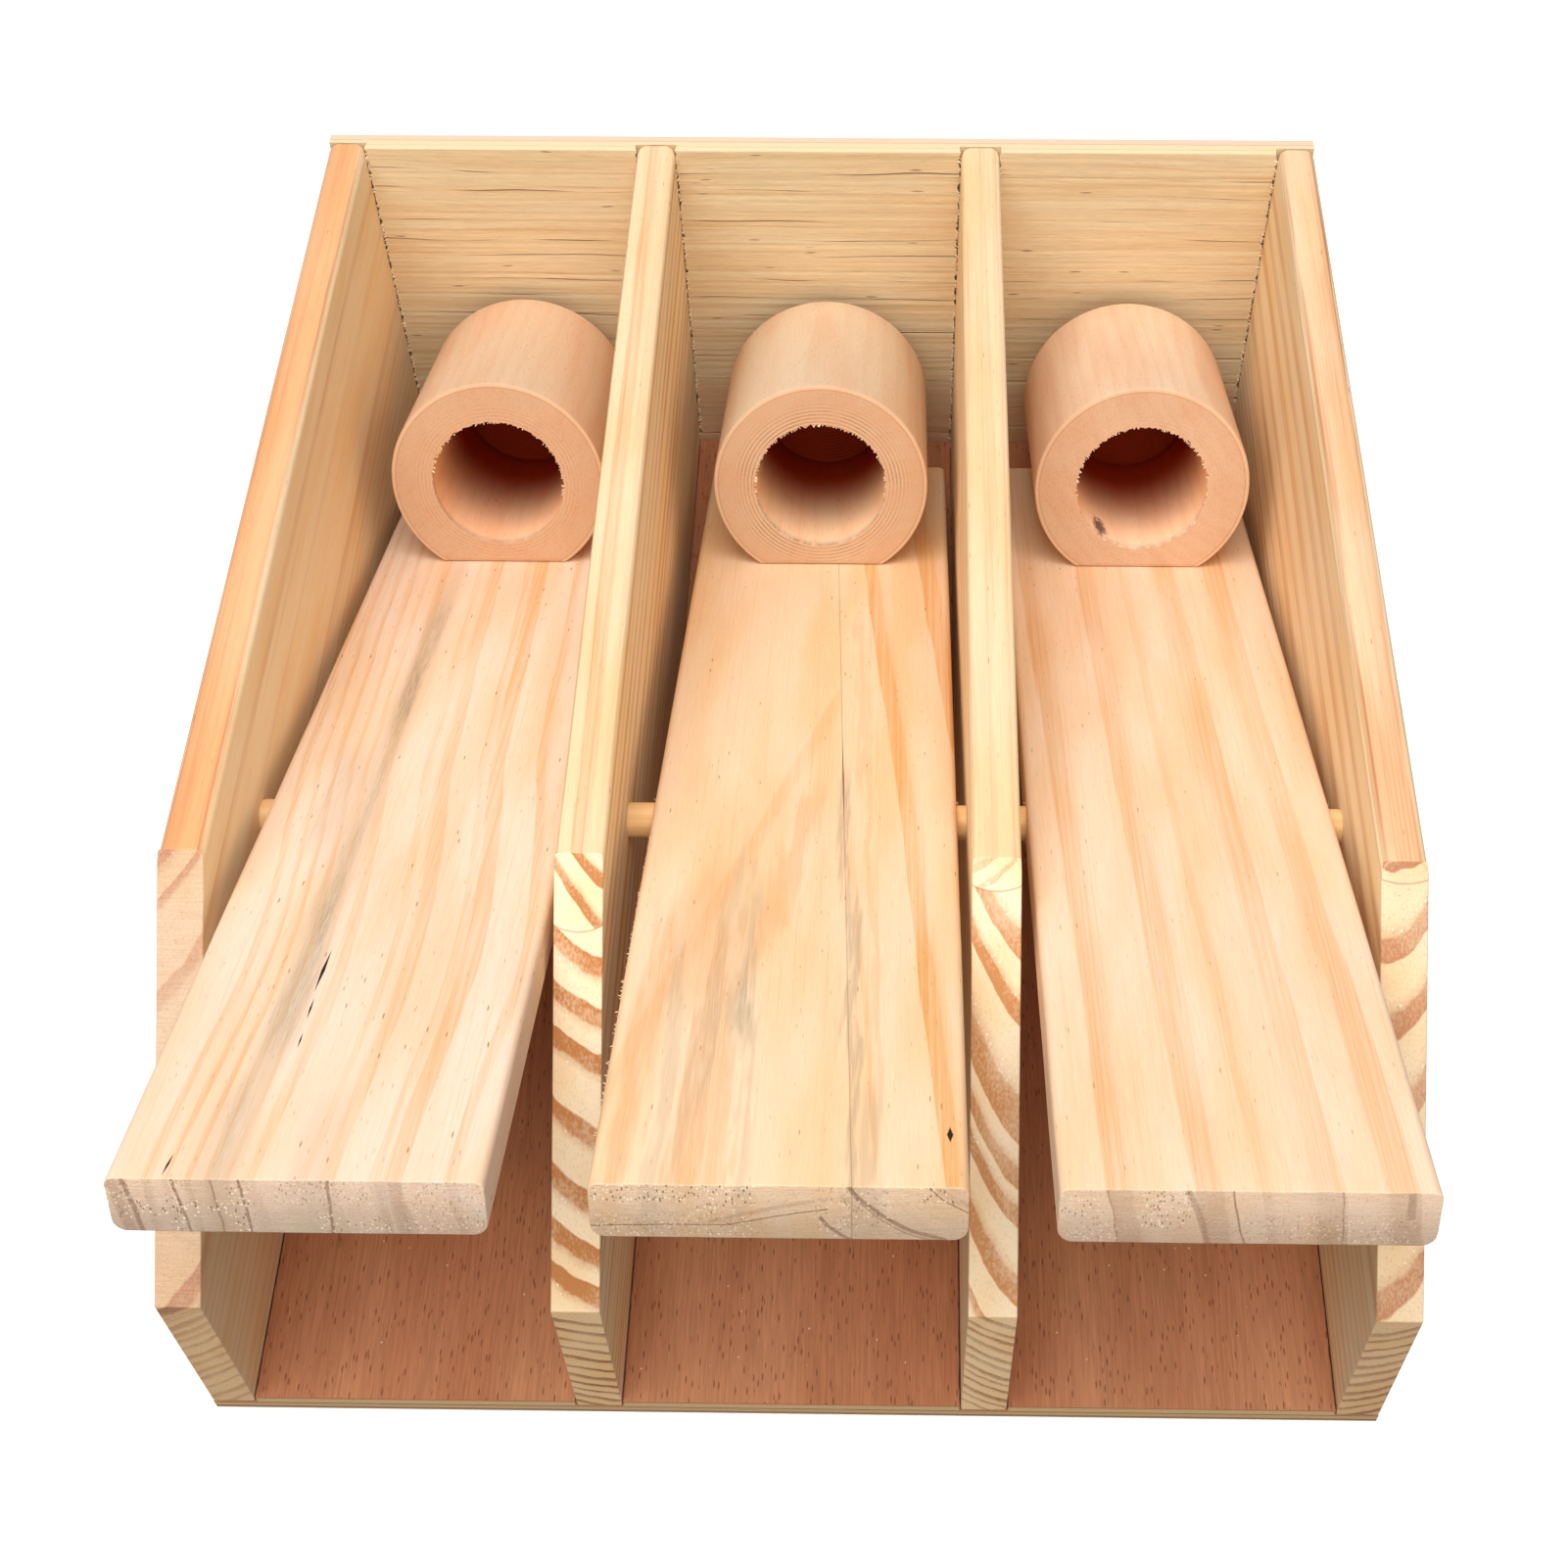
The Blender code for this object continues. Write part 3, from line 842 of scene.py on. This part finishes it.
def wall_materials():
    """The four boards, each with the rings of its own piece of the tree."""
    top = HEIGHT / MM
    side = dict(tilt=0.0, on_edge=True, front_y=FRONT / MM, early=(253, 229, 188))
    warm_chin = (1.0, 0.84, 0.68, 1.0)
    light_chin = (1.12, 0.98, 0.85, 1.0)
    pale_top = (0.965, 0.82, 0.78, 1.0)
    warm_top = (0.92, 0.60, 0.46, 1.0)

    def at(node):
        return (centre_x(node), 0.0, 0.0)

    def chin_rings(strength, seed):
        """Rings that only come out below the slope and on the inner faces."""
        return ring_run(4.0, CHIN_HEIGHT / MM - 1.0, 3.4, -1.7, strength, seed)

    slope_rings = [(z, -3.0, 1.0) for z in (78.2, 73.4, 68.7, 61.6, 55.6, 50.9, 46.7)]
    left_divider = [
        Stave(slope_rings + chin_rings(0.75, 3), slope=0.42, curve=-0.02),
        Stave([(82.0, 2.2, 0.85), (86.2, 2.4, 1.0)], slope=0.85, curve=-0.03, tint=1.02),
    ]
    right_divider = [
        Stave([(80.0, 4.5, 0.80), (74.0, 3.6, 0.95), (63.1, 7.0, 0.85), (58.4, 3.4, 0.80), (54.7, 3.0, 0.90),
               (46.8, 5.0, 0.90)] + chin_rings(0.70, 4), slope=1.0, curve=-0.06),
        Stave([(84.6, 1.0, 0.4), (86.6, 1.2, 0.4)], slope=-0.5, curve=-0.06, tint=1.03),
    ]
    left_side = [
        Stave([(90.0, -4.0, 0.90), (84.7, -1.6, 0.65), (75.9, -3.0, 0.60), (64.0, -2.2, 0.30),
               (44.5, -4.5, 0.75)] + chin_rings(0.45, 5), slope=-0.8, curve=-0.02),
    ]
    right_side = [
        Stave([(77.6, 4.0, 0.80), (69.8, 4.2, 0.85), (61.4, 4.6, 0.80), (52.8, 4.2, 0.75), (44.1, 4.8, 0.90)]
              + chin_rings(0.75, 6), slope=-0.5, curve=-0.065),
        Stave([(86.0, 1.6, 1.0), (90.0, 1.5, 0.5)], slope=-0.1, curve=-0.04, tint=0.97),
    ]
    return {
        "left_side_wall": pine("pine_left_side", at("left_side_wall"), staves=left_side, seed=1.0,
                               late=(210, 146, 100), slope_grey=0.7, end_grey=0.45,
                               specks=(0.5, 0.2), top_tint=warm_top,
                               slope_tint=(0.90, 0.86, 0.88, 1.0), chin_tint=warm_chin, **side),
        "left_divider": pine("pine_left_divider", at("left_divider"), staves=left_divider,
                             seams=(top - 7.0,), sag=0.6, seed=2.0, late=(194, 126, 66),
                             slope_grey=0.0, end_grey=0.14, rough=0.15,
                             specks=(0.10, 0.72), top_tint=pale_top, chin_tint=warm_chin,
                             slope_tint=(1.07, 1.10, 1.15, 1.0), **side),
        "right_divider": pine("pine_right_divider", at("right_divider"), staves=right_divider,
                              seams=(top - 2.8,), sag=0.5, seed=3.0, late=(202, 138, 80),
                              slope_grey=0.0, end_grey=0.22, rough=0.15,
                              specks=(0.10, 0.70), top_tint=pale_top, chin_tint=light_chin,
                              slope_tint=(1.03, 1.06, 1.12, 1.0), **side),
        "right_side_wall": pine("pine_right_side", at("right_side_wall"), staves=right_side,
                                seams=(top - 1.8,), sag=0.4, seed=4.0, late=(198, 132, 86),
                                slope_grey=0.25, end_grey=0.45,
                                specks=(0.45, 0.40), top_tint=pale_top, chin_tint=warm_chin, **side),
    }


# ------------------------------------------------------------------ plywood sheets

def comb_points(side_x):
    """Section of a grooved sheet as (x, height, lip): lip is -1 or +1 on the edge of a
    groove whose wood lies to the left or right of it, and 0 elsewhere."""
    floor = PLY - GROOVE
    step = side_x - GAP
    points = [(-HALF_WIDTH, 0.0, 0), (HALF_WIDTH, 0.0, 0), (HALF_WIDTH, floor, 0),
              (step, floor, 0), (step, PLY, -1)]
    for node in ("right_divider", "left_divider"):
        low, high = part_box(node)
        points += [(high.x + GAP, PLY, 1), (high.x + GAP, floor, 0),
                   (low.x - GAP, floor, 0), (low.x - GAP, PLY, -1)]
    points += [(-step, PLY, 1), (-step, floor, 0), (-HALF_WIDTH, floor, 0)]
    return points


def sheet_rings(start, end, pitch, ragged, place, seed):
    """Rings of a grooved sheet along its length, with chipped groove edges."""
    low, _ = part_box("right_side_wall")
    points = comb_points(low.x)
    count = int((end - start) / pitch)
    rings = []
    for i in range(count + 1):
        along = start + (end - start) * i / count
        ring = []
        for number, (x, height, lip) in enumerate(points):
            if lip:
                tear = noise.noise(Vector((along / MM * 0.9, number * 7.3, seed)))
                tear += 0.6 * noise.noise(Vector((along / MM * 2.7, number * 3.1, seed + 9)))
                x += lip * (tear - 0.1) * ragged
                height -= abs(tear) * ragged * 0.5
            ring.append(place(x, height, along))
        rings.append(ring)
    return rings


def make_base(material):
    def place(x, height, along):
        return (x, along, height)

    bm = bmesh.new()
    loft(bm, sheet_rings(FRONT, base_high.y, 1.3 * MM, 0.16 * MM, place, 1.0))
    obj = mesh_object("base_sheet", bm)
    drill_brads(obj, "base_brad_", 12, Vector((0, 0, 1)))
    smooth_sharp(obj, 28)
    finish_piece(obj, [material], "box", "base_panel")


def make_back(material, fibre):
    def place(x, height, along):
        return (x, BACK - height, along)

    bm = bmesh.new()
    loft(bm, sheet_rings(0.0, HEIGHT, 0.40 * MM, 0.52 * MM, place, 5.0))
    obj = mesh_object("back_sheet", bm)
    drill_brads(obj, "back_brad_", 8, Vector((0, -1, 0)))
    smooth_sharp(obj, 28)
    finish_piece(obj, [material, fibre], "box", "back_panel")
    chance = random.Random(31)
    add_fibres(obj, groove_fibres(chance), chance)


def groove_fibres(chance):
    """Roots of the veneer's torn ends where the saw came out of the panel's grooves."""
    low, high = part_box("right_side_wall")
    mouths = [(low.x - GAP, -1), (-low.x + GAP, 1)]
    for node in ("left_divider", "right_divider"):
        low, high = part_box(node)
        mouths += [(low.x - GAP, -1), (high.x + GAP, 1)]
    roots = []
    for x, side in mouths:
        for _ in range(150):
            z = chance.uniform(PLY, HEIGHT - 0.8 * MM)
            root = (x + side * chance.uniform(-0.15, 0.25) * MM, PANEL_FACE, z)
            way = (-side * chance.uniform(0.2, 1.0), -0.8, chance.uniform(-0.6, 0.6))
            roots.append((root, way, chance.uniform(0.3, 0.9) * MM, chance.uniform(0.15, 0.40) * MM))
    return roots


def drill_brads(obj, prefix, count, inward):
    """Holes that the brads' heads are punched into."""
    holes = []
    for number in range(1, count + 1):
        low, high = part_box(f"{prefix}{number}")
        middle = (low + high) / 2
        half = abs((high - low).dot(inward)) / 2
        radius = (high.x - low.x) / 2 + 0.08 * MM
        head = middle - inward * half
        holes.append((radius, head - inward * MM, head + inward * 2 * PLY))
    cut_cylinders(obj, holes, 20)


# ------------------------------------------------------------------ dowel

def make_dowel(material):
    """The dowel, turned in short lengths between its eased ends."""
    ease = 0.4 * MM
    start, end = dowel_low.x, dowel_high.x
    eased = [(0.0, ease), (ease * 0.3, ease * 0.3), (ease, 0.0)]
    places = [(start + along, DOWEL_R - inset) for along, inset in eased]
    steps = 40
    for i in range(1, steps):
        x = start + ease + (end - start - 2 * ease) * i / steps
        places.append((x, DOWEL_R))
    places += [(end - along, DOWEL_R - inset) for along, inset in reversed(eased)]
    segments = 56
    rings = []
    for x, radius in places:
        angles = [2 * math.pi * k / segments for k in range(segments)]
        rings.append([(x, PIVOT.y + radius * math.cos(a), PIVOT.z + radius * math.sin(a)) for a in angles])
    bm = bmesh.new()
    loft(bm, rings)
    obj = mesh_object("pivot_rod", bm)
    smooth_sharp(obj)
    finish_piece(obj, [material], "box", "pivot_dowel")


# ------------------------------------------------------------------ treadles

def tilted(lane_x):
    """Matrix from a treadle's own axes to the frame, at rest."""
    return Matrix.Translation((lane_x, PIVOT.y, PIVOT.z)) @ Matrix.Rotation(-REST_TILT, 4, "X")


def rounded_section():
    """Section of a treadle as (x, z, outward x, outward z)."""
    half, top = TREADLE_WIDTH / 2, TREADLE_THICKNESS / 2
    corners = [(half - TOP_ROUND, top - TOP_ROUND, TOP_ROUND, 0),
               (-half + TOP_ROUND, top - TOP_ROUND, TOP_ROUND, 1),
               (-half + BOTTOM_ROUND, -top + BOTTOM_ROUND, BOTTOM_ROUND, 2),
               (half - BOTTOM_ROUND, -top + BOTTOM_ROUND, BOTTOM_ROUND, 3)]
    steps, flats = 7, 14
    points = []
    for x, z, radius, quarter in corners:
        for i in range(steps + 1):
            a = math.pi / 2 * (quarter + i / steps)
            points.append((x + radius * math.cos(a), z + radius * math.sin(a), math.cos(a), math.sin(a)))
        if quarter in (0, 2):
            x0, z0, _, nz = points[-1]
            for i in range(1, flats):
                points.append((x0 - 2 * x0 * i / flats, z0, 0.0, nz))
    return points


def treadle_rings(matrix, seed):
    ease = 0.3 * MM
    ends = [(0.0, ease), (ease * 0.3, ease * 0.3), (ease, 0.0)]
    places = [(-FRONT_REACH + along, inset) for along, inset in ends]
    steps = 60
    body = FRONT_REACH + TAIL_REACH - 2 * ease
    places += [(-FRONT_REACH + ease + body * i / steps, 0.0) for i in range(1, steps)]
    places += [(TAIL_REACH - along, inset) for along, inset in reversed(ends)]
    rings = []
    for y, inset in places:
        ring = []
        for x, z, nx, nz in rounded_section():
            wave = 0.05 * MM * noise.noise(Vector((x / MM / 9, y / MM / 22, seed)))
            shift = wave - inset
            ring.append(matrix @ Vector((x + nx * shift, y, z + nz * shift)))
        rings.append(ring)
    return rings


def torn_edges(matrix, chance, fuzzy):
    """Roots of the torn fibres round the dowel hole, and along a fuzzy left edge."""
    roots = []
    turn = matrix.to_3x3()
    half = TREADLE_WIDTH / 2
    for side in (-1, 1):
        for _ in range(9):
            a = chance.uniform(0, 2 * math.pi)
            ring = Vector((side * half, math.cos(a) * DOWEL_R * 1.12, math.sin(a) * DOWEL_R * 1.12))
            way = turn @ Vector((side, chance.uniform(-1, 1), chance.uniform(-1, 1)))
            roots.append((matrix @ ring, way, chance.uniform(0.3, 0.8) * MM, chance.uniform(0.08, 0.16) * MM))
    for _ in range(fuzzy):
        y = -chance.uniform(0.1, 0.97) * FRONT_REACH
        rise = chance.uniform(-0.1, 0.34) * TREADLE_THICKNESS
        way = turn @ Vector((-1, chance.uniform(-1.2, 1.2), chance.uniform(-0.3, 0.9)))
        place = matrix @ Vector((-half, y, rise))
        roots.append((place, way, chance.uniform(0.2, 0.65) * MM, chance.uniform(0.15, 0.35) * MM))
    return roots


def make_treadle(lane, material, fibre, seed):
    node = lane + "_treadle"
    matrix = tilted(centre_x(node))
    bm = bmesh.new()
    loft(bm, treadle_rings(matrix, seed))
    obj = mesh_object(lane + "_treadle_board", bm)
    across = Vector((TREADLE_WIDTH, 0, 0))
    hub = matrix.translation
    cut_cylinders(obj, [(DOWEL_R + 0.2 * MM, hub - across, hub + across)])
    smooth_sharp(obj)
    finish_piece(obj, [material, fibre], lane + "_seesaw", node)
    chance = random.Random(seed)
    fuzzy = 320 if lane == "middle" else 0
    add_fibres(obj, torn_edges(matrix, chance, fuzzy), chance)


def treadle_materials():
    """The three treadles: their rings are placed by where they cross the top face."""
    def common(lane):
        return dict(location=(centre_x(lane + "_treadle"), PIVOT.y, PIVOT.z), tilt=-REST_TILT, on_edge=False,
                    front_y=-FRONT_REACH / MM, face_v=TREADLE_THICKNESS / MM / 2, end_grey=0.80,
                    end_painted_shading=0.36, specks=(0.0, 0.0))

    sway = [(0.0, 0.0), (0.125, 1.8), (0.22, 3.0), (0.34, 0.5), (0.455, -2.8), (0.74, -5.0), (1.0, -6.0)]
    left = pine(
        "pine_left_treadle", staves=[
            Stave([(-21.5, 1.6, 0.55), (-17.6, -1.2, 0.50), (-14.7, -1.3, 0.60), (-11.6, -1.3, 0.50),
                   (-9.0, -1.2, 0.30), (-5.2, -2.6, 0.42), (0.6, 1.8, 0.26), (5.8, -3.6, 0.50),
                   (10.6, 1.8, 0.35), (15.1, -4.4, 0.66), (20.6, 2.2, 0.60), (26.0, 2.4, 0.50)],
                  slope=0.12, sway=sway),
        ], seed=5.0,
        streaks=[(-9.0, 3.2, -62, 62, 0.38, 0.0), (-8.8, 1.4, -34, 38, 0.26, 0.0),
                 (-9.4, 2.6, -94, -36, 0.34, 0.0), (-8.8, 2.2, 30, 84, 0.36, 0.0),
                 (-14.8, 4.4, -10, 8, 0.40, 0.0), (-12.0, 3.0, -97, -84, 0.30, 0.0),
                 (2.0, 3.4, -97, -88, 0.28, 0.0)],
        cracks=[(-6.2, -50.5, 10.5, 0.55, 0.03), (-6.0, -60.0, 5.0, 0.30, 0.0), (-5.8, -67.5, 3.6, 0.25, 0.0),
                (-17.6, -94.6, 4.4, 0.35, 0.1)],
        arcs=[(-23.4, 0.0, -21.6, -9.6, 0.2, 0.55, 0.85), (-16.4, 0.0, -14.9, -9.6, 0.0, 0.30, 0.85),
              (-11.1, 0.0, -10.4, -9.6, 0.0, 0.22, 0.70), (-7.4, 0.0, -6.6, -9.6, 0.1, 0.28, 0.90),
              (4.7, 0.0, 4.5, -9.6, 0.0, 0.34, 0.80), (11.6, 0.0, 12.2, -9.6, 0.0, 0.9, 0.22),
              (13.6, 0.0, 14.4, -9.6, 0.0, 1.4, 0.26), (-24.8, 0.0, -23.0, -9.6, 0.0, 1.3, 0.45)],
        torn=[(-21.5, -9.5, -6.4, -4.0, 1.0), (-16.8, -15.6, -9.0, -0.6, 0.8), (-8.4, -6.4, -9.0, -0.5, 0.9),
              (-2.0, 10.0, -4.5, -0.4, 0.55), (3.0, 12.0, -9.2, -6.0, 0.6), (15.0, 25.0, -9.0, -0.4, 0.5),
              (-25.6, -23.0, -7.0, -1.0, 0.7)],
        end_rings=0.55, fray=3.0, early=(249, 220, 194), late=(230, 172, 112), pores=0.80, **common("left"))
    middle = pine(
        "pine_middle_treadle", staves=[
            Stave([(-33.0, 4.0, 0.35), (22.4, -3.4, 0.95), (35.0, -11.0, 0.60), (58.0, -6.0, 0.36)],
                  slope=3.0, curve=0.16, lean=-0.28, tint=1.0),
            Stave([(13.4, 1.4, 0.35), (22.8, 4.2, 0.92), (34.0, 5.5, 0.85), (6.0, 2.0, 0.35)],
                  slope=0.9, lean=0.075),
        ], seams=(6.5,), seam_lean=0.035, seed=6.0,
        streaks=[(-7.2, 2.0, -58, -34, 0.52, 0.02), (-6.0, 1.2, -97, -56, 0.36, -0.02),
                 (-13.0, 1.6, -90, -36, 0.28, 0.03), (-17.2, 1.8, -97, -50, 0.40, 0.0),
                 (-10.5, 1.2, -70, -20, 0.34, 0.05), (8.4, 1.0, -97, 0, 0.60, -0.035),
                 (12.4, 1.5, -97, -84, 0.45, 0.0)],
        flush=[(-12.0, 2.6, -97, -44, 0.60, 0.03), (-21.5, 2.4, -97, -40, 0.55, 0.05),
               (-15.0, 4.5, -52, -28, 0.45, 0.1), (-2.6, 2.0, -46, -4, 0.46, 0.17),
               (-9.0, 1.4, -97, -60, 0.45, 0.0), (10.4, 1.0, -70, 60, 0.30, -0.03)],
        cracks=[(23.3, -86.7, 3.2, 0.9, 0.0), (6.3, 6.0, 26.0, 0.22, -0.035)],
        arcs=[(-25.8, -7.5, -7.0, -7.1, 0.15, 0.16, 1.0), (-7.2, -7.1, 6.0, -4.2, 0.1, 0.16, 1.0),
              (-9.0, -6.4, 6.0, -2.4, 0.2, 0.5, 0.35), (9.6, -0.1, 22.1, -9.2, -1.5, 0.50, 0.85),
              (9.8, -0.9, 21.0, -9.5, -1.5, 0.16, 0.8), (5.7, -5.6, 9.6, -9.4, -0.4, 0.42, 0.85),
              (20.3, 0.0, 25.8, -4.6, -0.4, 0.16, 1.0), (21.4, 0.2, 26.2, -3.6, -0.4, 0.8, 0.30)],
        torn=[(-25.5, -3.5, -3.0, -0.3, 1.0), (-11.5, -6.5, -5.2, -2.5, 0.8), (19.5, 23.5, -2.8, -0.3, 0.9),
              (9.0, 15.0, -7.0, -1.2, 0.6), (-25.0, -4.0, -9.0, -5.4, 0.45), (5.5, 10.0, -9.0, -0.3, 0.5)],
        end_rings=0.35, early=(248, 214, 176), late=(230, 166, 98), pores=0.65, **common("middle"))
    right = pine(
        "pine_right_treadle", staves=[
            Stave([(-19.5, 5.0, 0.62), (-8.2, 5.4, 0.60), (0.5, 2.0, 0.28), (11.7, -6.0, 0.60),
                   (21.6, -6.2, 0.62)], slope=0.18, lean=0.020),
        ], seed=7.0,
        arcs=[(-19.4, 0.0, -17.6, -9.6, 0.2, 0.16, 0.6), (-8.6, 0.0, -5.2, -9.6, 0.2, 0.7, 0.55),
              (-2.4, 0.0, -0.2, -9.6, -0.3, 0.22, 0.85), (12.2, 0.0, 13.0, -9.6, 0.1, 0.16, 0.6),
              (21.4, -0.4, 21.8, -4.6, 0.0, 0.8, 0.55)],
        torn=[(-25.0, -20.5, -5.0, -1.2, 0.7), (-14.5, -8.5, -6.6, -0.4, 0.8),
              (-24.0, -18.0, -9.0, -6.0, 0.4), (0.0, 22.0, -8.8, -4.6, 0.40)],
        end_rings=1.0, early=(250, 218, 186), late=(230, 168, 108), pores=0.50, **common("right"))
    return {"left": left, "middle": middle, "right": right}


# ------------------------------------------------------------------ cups

def cup_radius(angle):
    """Distance from the cup's axis to its outside: round, with a flat underneath."""
    down = math.cos(angle + math.pi / 2)
    if down * CUP_R <= CUP_FLAT:
        return CUP_R
    return CUP_FLAT / down


def cup_matrix(lane):
    """Matrix from a cup's own axes to the frame, at rest."""
    treadle_x = centre_x(lane + "_treadle")
    lift = TREADLE_THICKNESS / 2 + GAP * 0.3 + CUP_FLAT
    shift = (centre_x(lane + "_treat_cup") - treadle_x, CUP_FRONT, lift)
    return tilted(treadle_x) @ Matrix.Translation(shift)


def make_cup(lane, material, fibre, seed, roughness):
    """A turned block: outside, eased ends, flat face, torn bore rim and drilled floor."""
    node = lane + "_treat_cup"
    matrix = cup_matrix(lane)
    segments = 224
    angles = [2 * math.pi * i / segments for i in range(segments)]
    chance = random.Random(seed)

    def tear(i, depth):
        """How far the bore's rim is torn at this angle."""
        a = angles[i]
        place = Vector((math.cos(a) * 9.0, math.sin(a) * 9.0, seed * 3.7 + depth))
        fine = Vector((math.cos(a) * 34.0, math.sin(a) * 34.0, seed * 1.9 + depth))
        return roughness * MM * (0.55 * noise.noise(place) + 0.75 * noise.noise(fine))

    def outer(y, inset):
        return [(cup_radius(a) - inset, y) for a in angles]

    rings = [outer(CUP_LENGTH, CUP_EASE * 3), outer(CUP_LENGTH, CUP_EASE)]
    rings += [outer(CUP_LENGTH - CUP_EASE * 0.3, CUP_EASE * 0.3), outer(CUP_LENGTH - CUP_EASE, 0.0)]
    rings += [outer(CUP_LENGTH * i / 12, 0.0) for i in range(11, 0, -1)]
    rings += [outer(CUP_EASE, 0.0), outer(CUP_EASE * 0.3, CUP_EASE * 0.3), outer(0.0, CUP_EASE)]
    mouth = BORE_R + 0.2 * MM
    for share in (0.12, 0.25, 0.4, 0.55, 0.7, 0.85, 0.95):
        rings.append([((cup_radius(a) - CUP_EASE) * (1 - share) + mouth * share, 0.0) for a in angles])
    for depth, grip in ((0.0, 1.0), (0.25, 0.85), (0.6, 0.5), (1.2, 0.2)):
        rings.append([(BORE_R + grip * tear(i, depth * 0.4), depth * MM) for i in range(segments)])
    for depth in (3, 8, 14, 20, 26, 32, 38, BORE_DEPTH / MM - 0.3):
        rings.append([(BORE_R + 0.03 * MM * noise.noise(Vector((depth, i * 0.2, seed))), depth * MM)
                      for i in range(segments)])
    for radius, depth in ((BORE_R - 0.3 * MM, BORE_DEPTH), (BORE_R * 0.6, BORE_DEPTH), (1.2 * MM, BORE_DEPTH),
                          (0.3 * MM, BORE_DEPTH + 1.2 * MM)):
        rings.append([(radius, depth)] * segments)
    bm = bmesh.new()
    loft(bm, [[matrix @ Vector((r * math.cos(a), y, r * math.sin(a))) for a, (r, y) in zip(angles, ring)]
              for ring in rings])
    obj = mesh_object(lane + "_cup_block", bm)
    smooth_sharp(obj)
    finish_piece(obj, [material, fibre], lane + "_seesaw", node)

    turn = matrix.to_3x3()
    roots = []
    for _ in range(int(90 * roughness)):
        a = chance.uniform(-0.25, math.pi + 0.25)
        inward = turn @ Vector((-math.cos(a) + chance.uniform(-0.5, 0.5), -0.25, -math.sin(a)))
        rim = matrix @ Vector((math.cos(a) * BORE_R, 0.15 * MM, math.sin(a) * BORE_R))
        roots.append((rim, inward, chance.uniform(0.15, 0.55) * MM, chance.uniform(0.18, 0.42) * MM))
    add_fibres(obj, roots, chance)


def cup_materials():
    def at(lane):
        return tuple(cup_matrix(lane).translation)

    return {
        "left": beech("beech_left", at("left"), -REST_TILT, 1.0, (-30.0, 12.0), 0.35, early=(225, 191, 158)),
        "middle": beech("beech_middle", at("middle"), -REST_TILT, 2.0, (25.0, -30.0), 1.0),
        "right": beech("beech_right", at("right"), -REST_TILT, 3.0, (36.0, 26.0), 0.15,
                       knot=(-7.5, 5.0, -10.5, 2.4), early=(238, 207, 176)),
    }


# ------------------------------------------------------------------ assembly

def build_object():
    fibre = torn_fibre()
    for node, material in wall_materials().items():
        make_wall(node, material)
    make_base(red_plywood())
    make_back(pale_plywood(), fibre)
    make_dowel(dowel_wood())
    treadle_woods = treadle_materials()
    cup_woods = cup_materials()
    for number, lane in enumerate(LANES):
        make_treadle(lane, treadle_woods[lane], fibre, number + 1.0)
        make_cup(lane, cup_woods[lane], fibre, number + 1, (0.55, 0.85, 0.80)[number])
    steel = brad_steel()
    for name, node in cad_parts.items():
        if "brad" in name:
            node.data.materials.clear()
            node.data.materials.append(steel)


# ------------------------------------------------------------------ studio

def make_floor():
    """A white floor. It is lit like the object, but throws no light back at it: the
    dim world below stands in for what a real sweep returns."""
    bm = bmesh.new()
    bmesh.ops.create_grid(bm, x_segments=8, y_segments=8, size=3.0)
    floor = mesh_object("studio_floor", bm)
    floor.location.z = -0.2 * MM
    g = Graph("studio_white")
    g.shader.inputs["Base Color"].default_value = (0.96, 0.96, 0.96, 1.0)
    g.shader.inputs["Roughness"].default_value = 0.9
    g.shader.inputs["Specular IOR Level"].default_value = 0.1
    g.shader.inputs["Emission Color"].default_value = (1.0, 1.0, 1.0, 1.0)
    g.shader.inputs["Emission Strength"].default_value = 0.3
    floor.data.materials.append(g.material)
    floor.visible_diffuse = False
    floor.visible_glossy = False
    floor.visible_shadow = False


def area_light(name, location, target, size, watts):
    data = bpy.data.lights.new(name, "AREA")
    data.shape = "RECTANGLE"
    data.size, data.size_y = size
    data.energy = watts
    light = bpy.data.objects.new(name, data)
    light.location = location
    aim = Vector(target) - Vector(location)
    light.rotation_euler = aim.to_track_quat("-Z", "Y").to_euler()
    bpy.context.scene.collection.objects.link(light)


def make_light():
    world = bpy.data.worlds.new("studio")
    bpy.context.scene.world = world
    world.use_nodes = True
    background = world.node_tree.nodes["Background"]
    background.inputs["Color"].default_value = (1.0, 1.0, 1.0, 1.0)
    background.inputs["Strength"].default_value = 0.32
    target = (0.0, 0.0, 0.03)
    area_light("overhead", (-0.15, -0.25, 1.25), target, (1.3, 1.3), 20.3)
    area_light("front", (0.1, -1.3, 0.75), target, (0.9, 0.6), 2.9)
    view = bpy.context.scene.view_settings
    view.view_transform = "Standard"
    view.look = "None"
    view.exposure = 0.0
    view.gamma = 1.0


def make_camera():
    """Camera in front of and above the box, looking down into the lanes."""
    image = 1601
    focal = 2320.45
    pitch, turn, roll = math.radians(53.10), math.radians(-1.043), math.radians(-0.305)
    data = bpy.data.cameras.new("camera")
    data.sensor_width = 36.0
    data.lens = focal / image * data.sensor_width
    data.shift_x = -0.0546
    data.shift_y = -0.0292
    data.clip_start = 0.01
    data.clip_end = 20.0
    camera = bpy.data.objects.new("camera", data)
    camera.location = (0.01609, -0.25865, 0.38346)
    look = Matrix.Rotation(-turn, 3, "Z") @ Matrix.Rotation(math.pi / 2 - pitch, 3, "X")
    camera.rotation_euler = (look @ Matrix.Rotation(roll, 3, "Z")).to_euler()
    bpy.context.scene.collection.objects.link(camera)
    bpy.context.scene.camera = camera


build_object()
make_floor()
make_light()
make_camera()
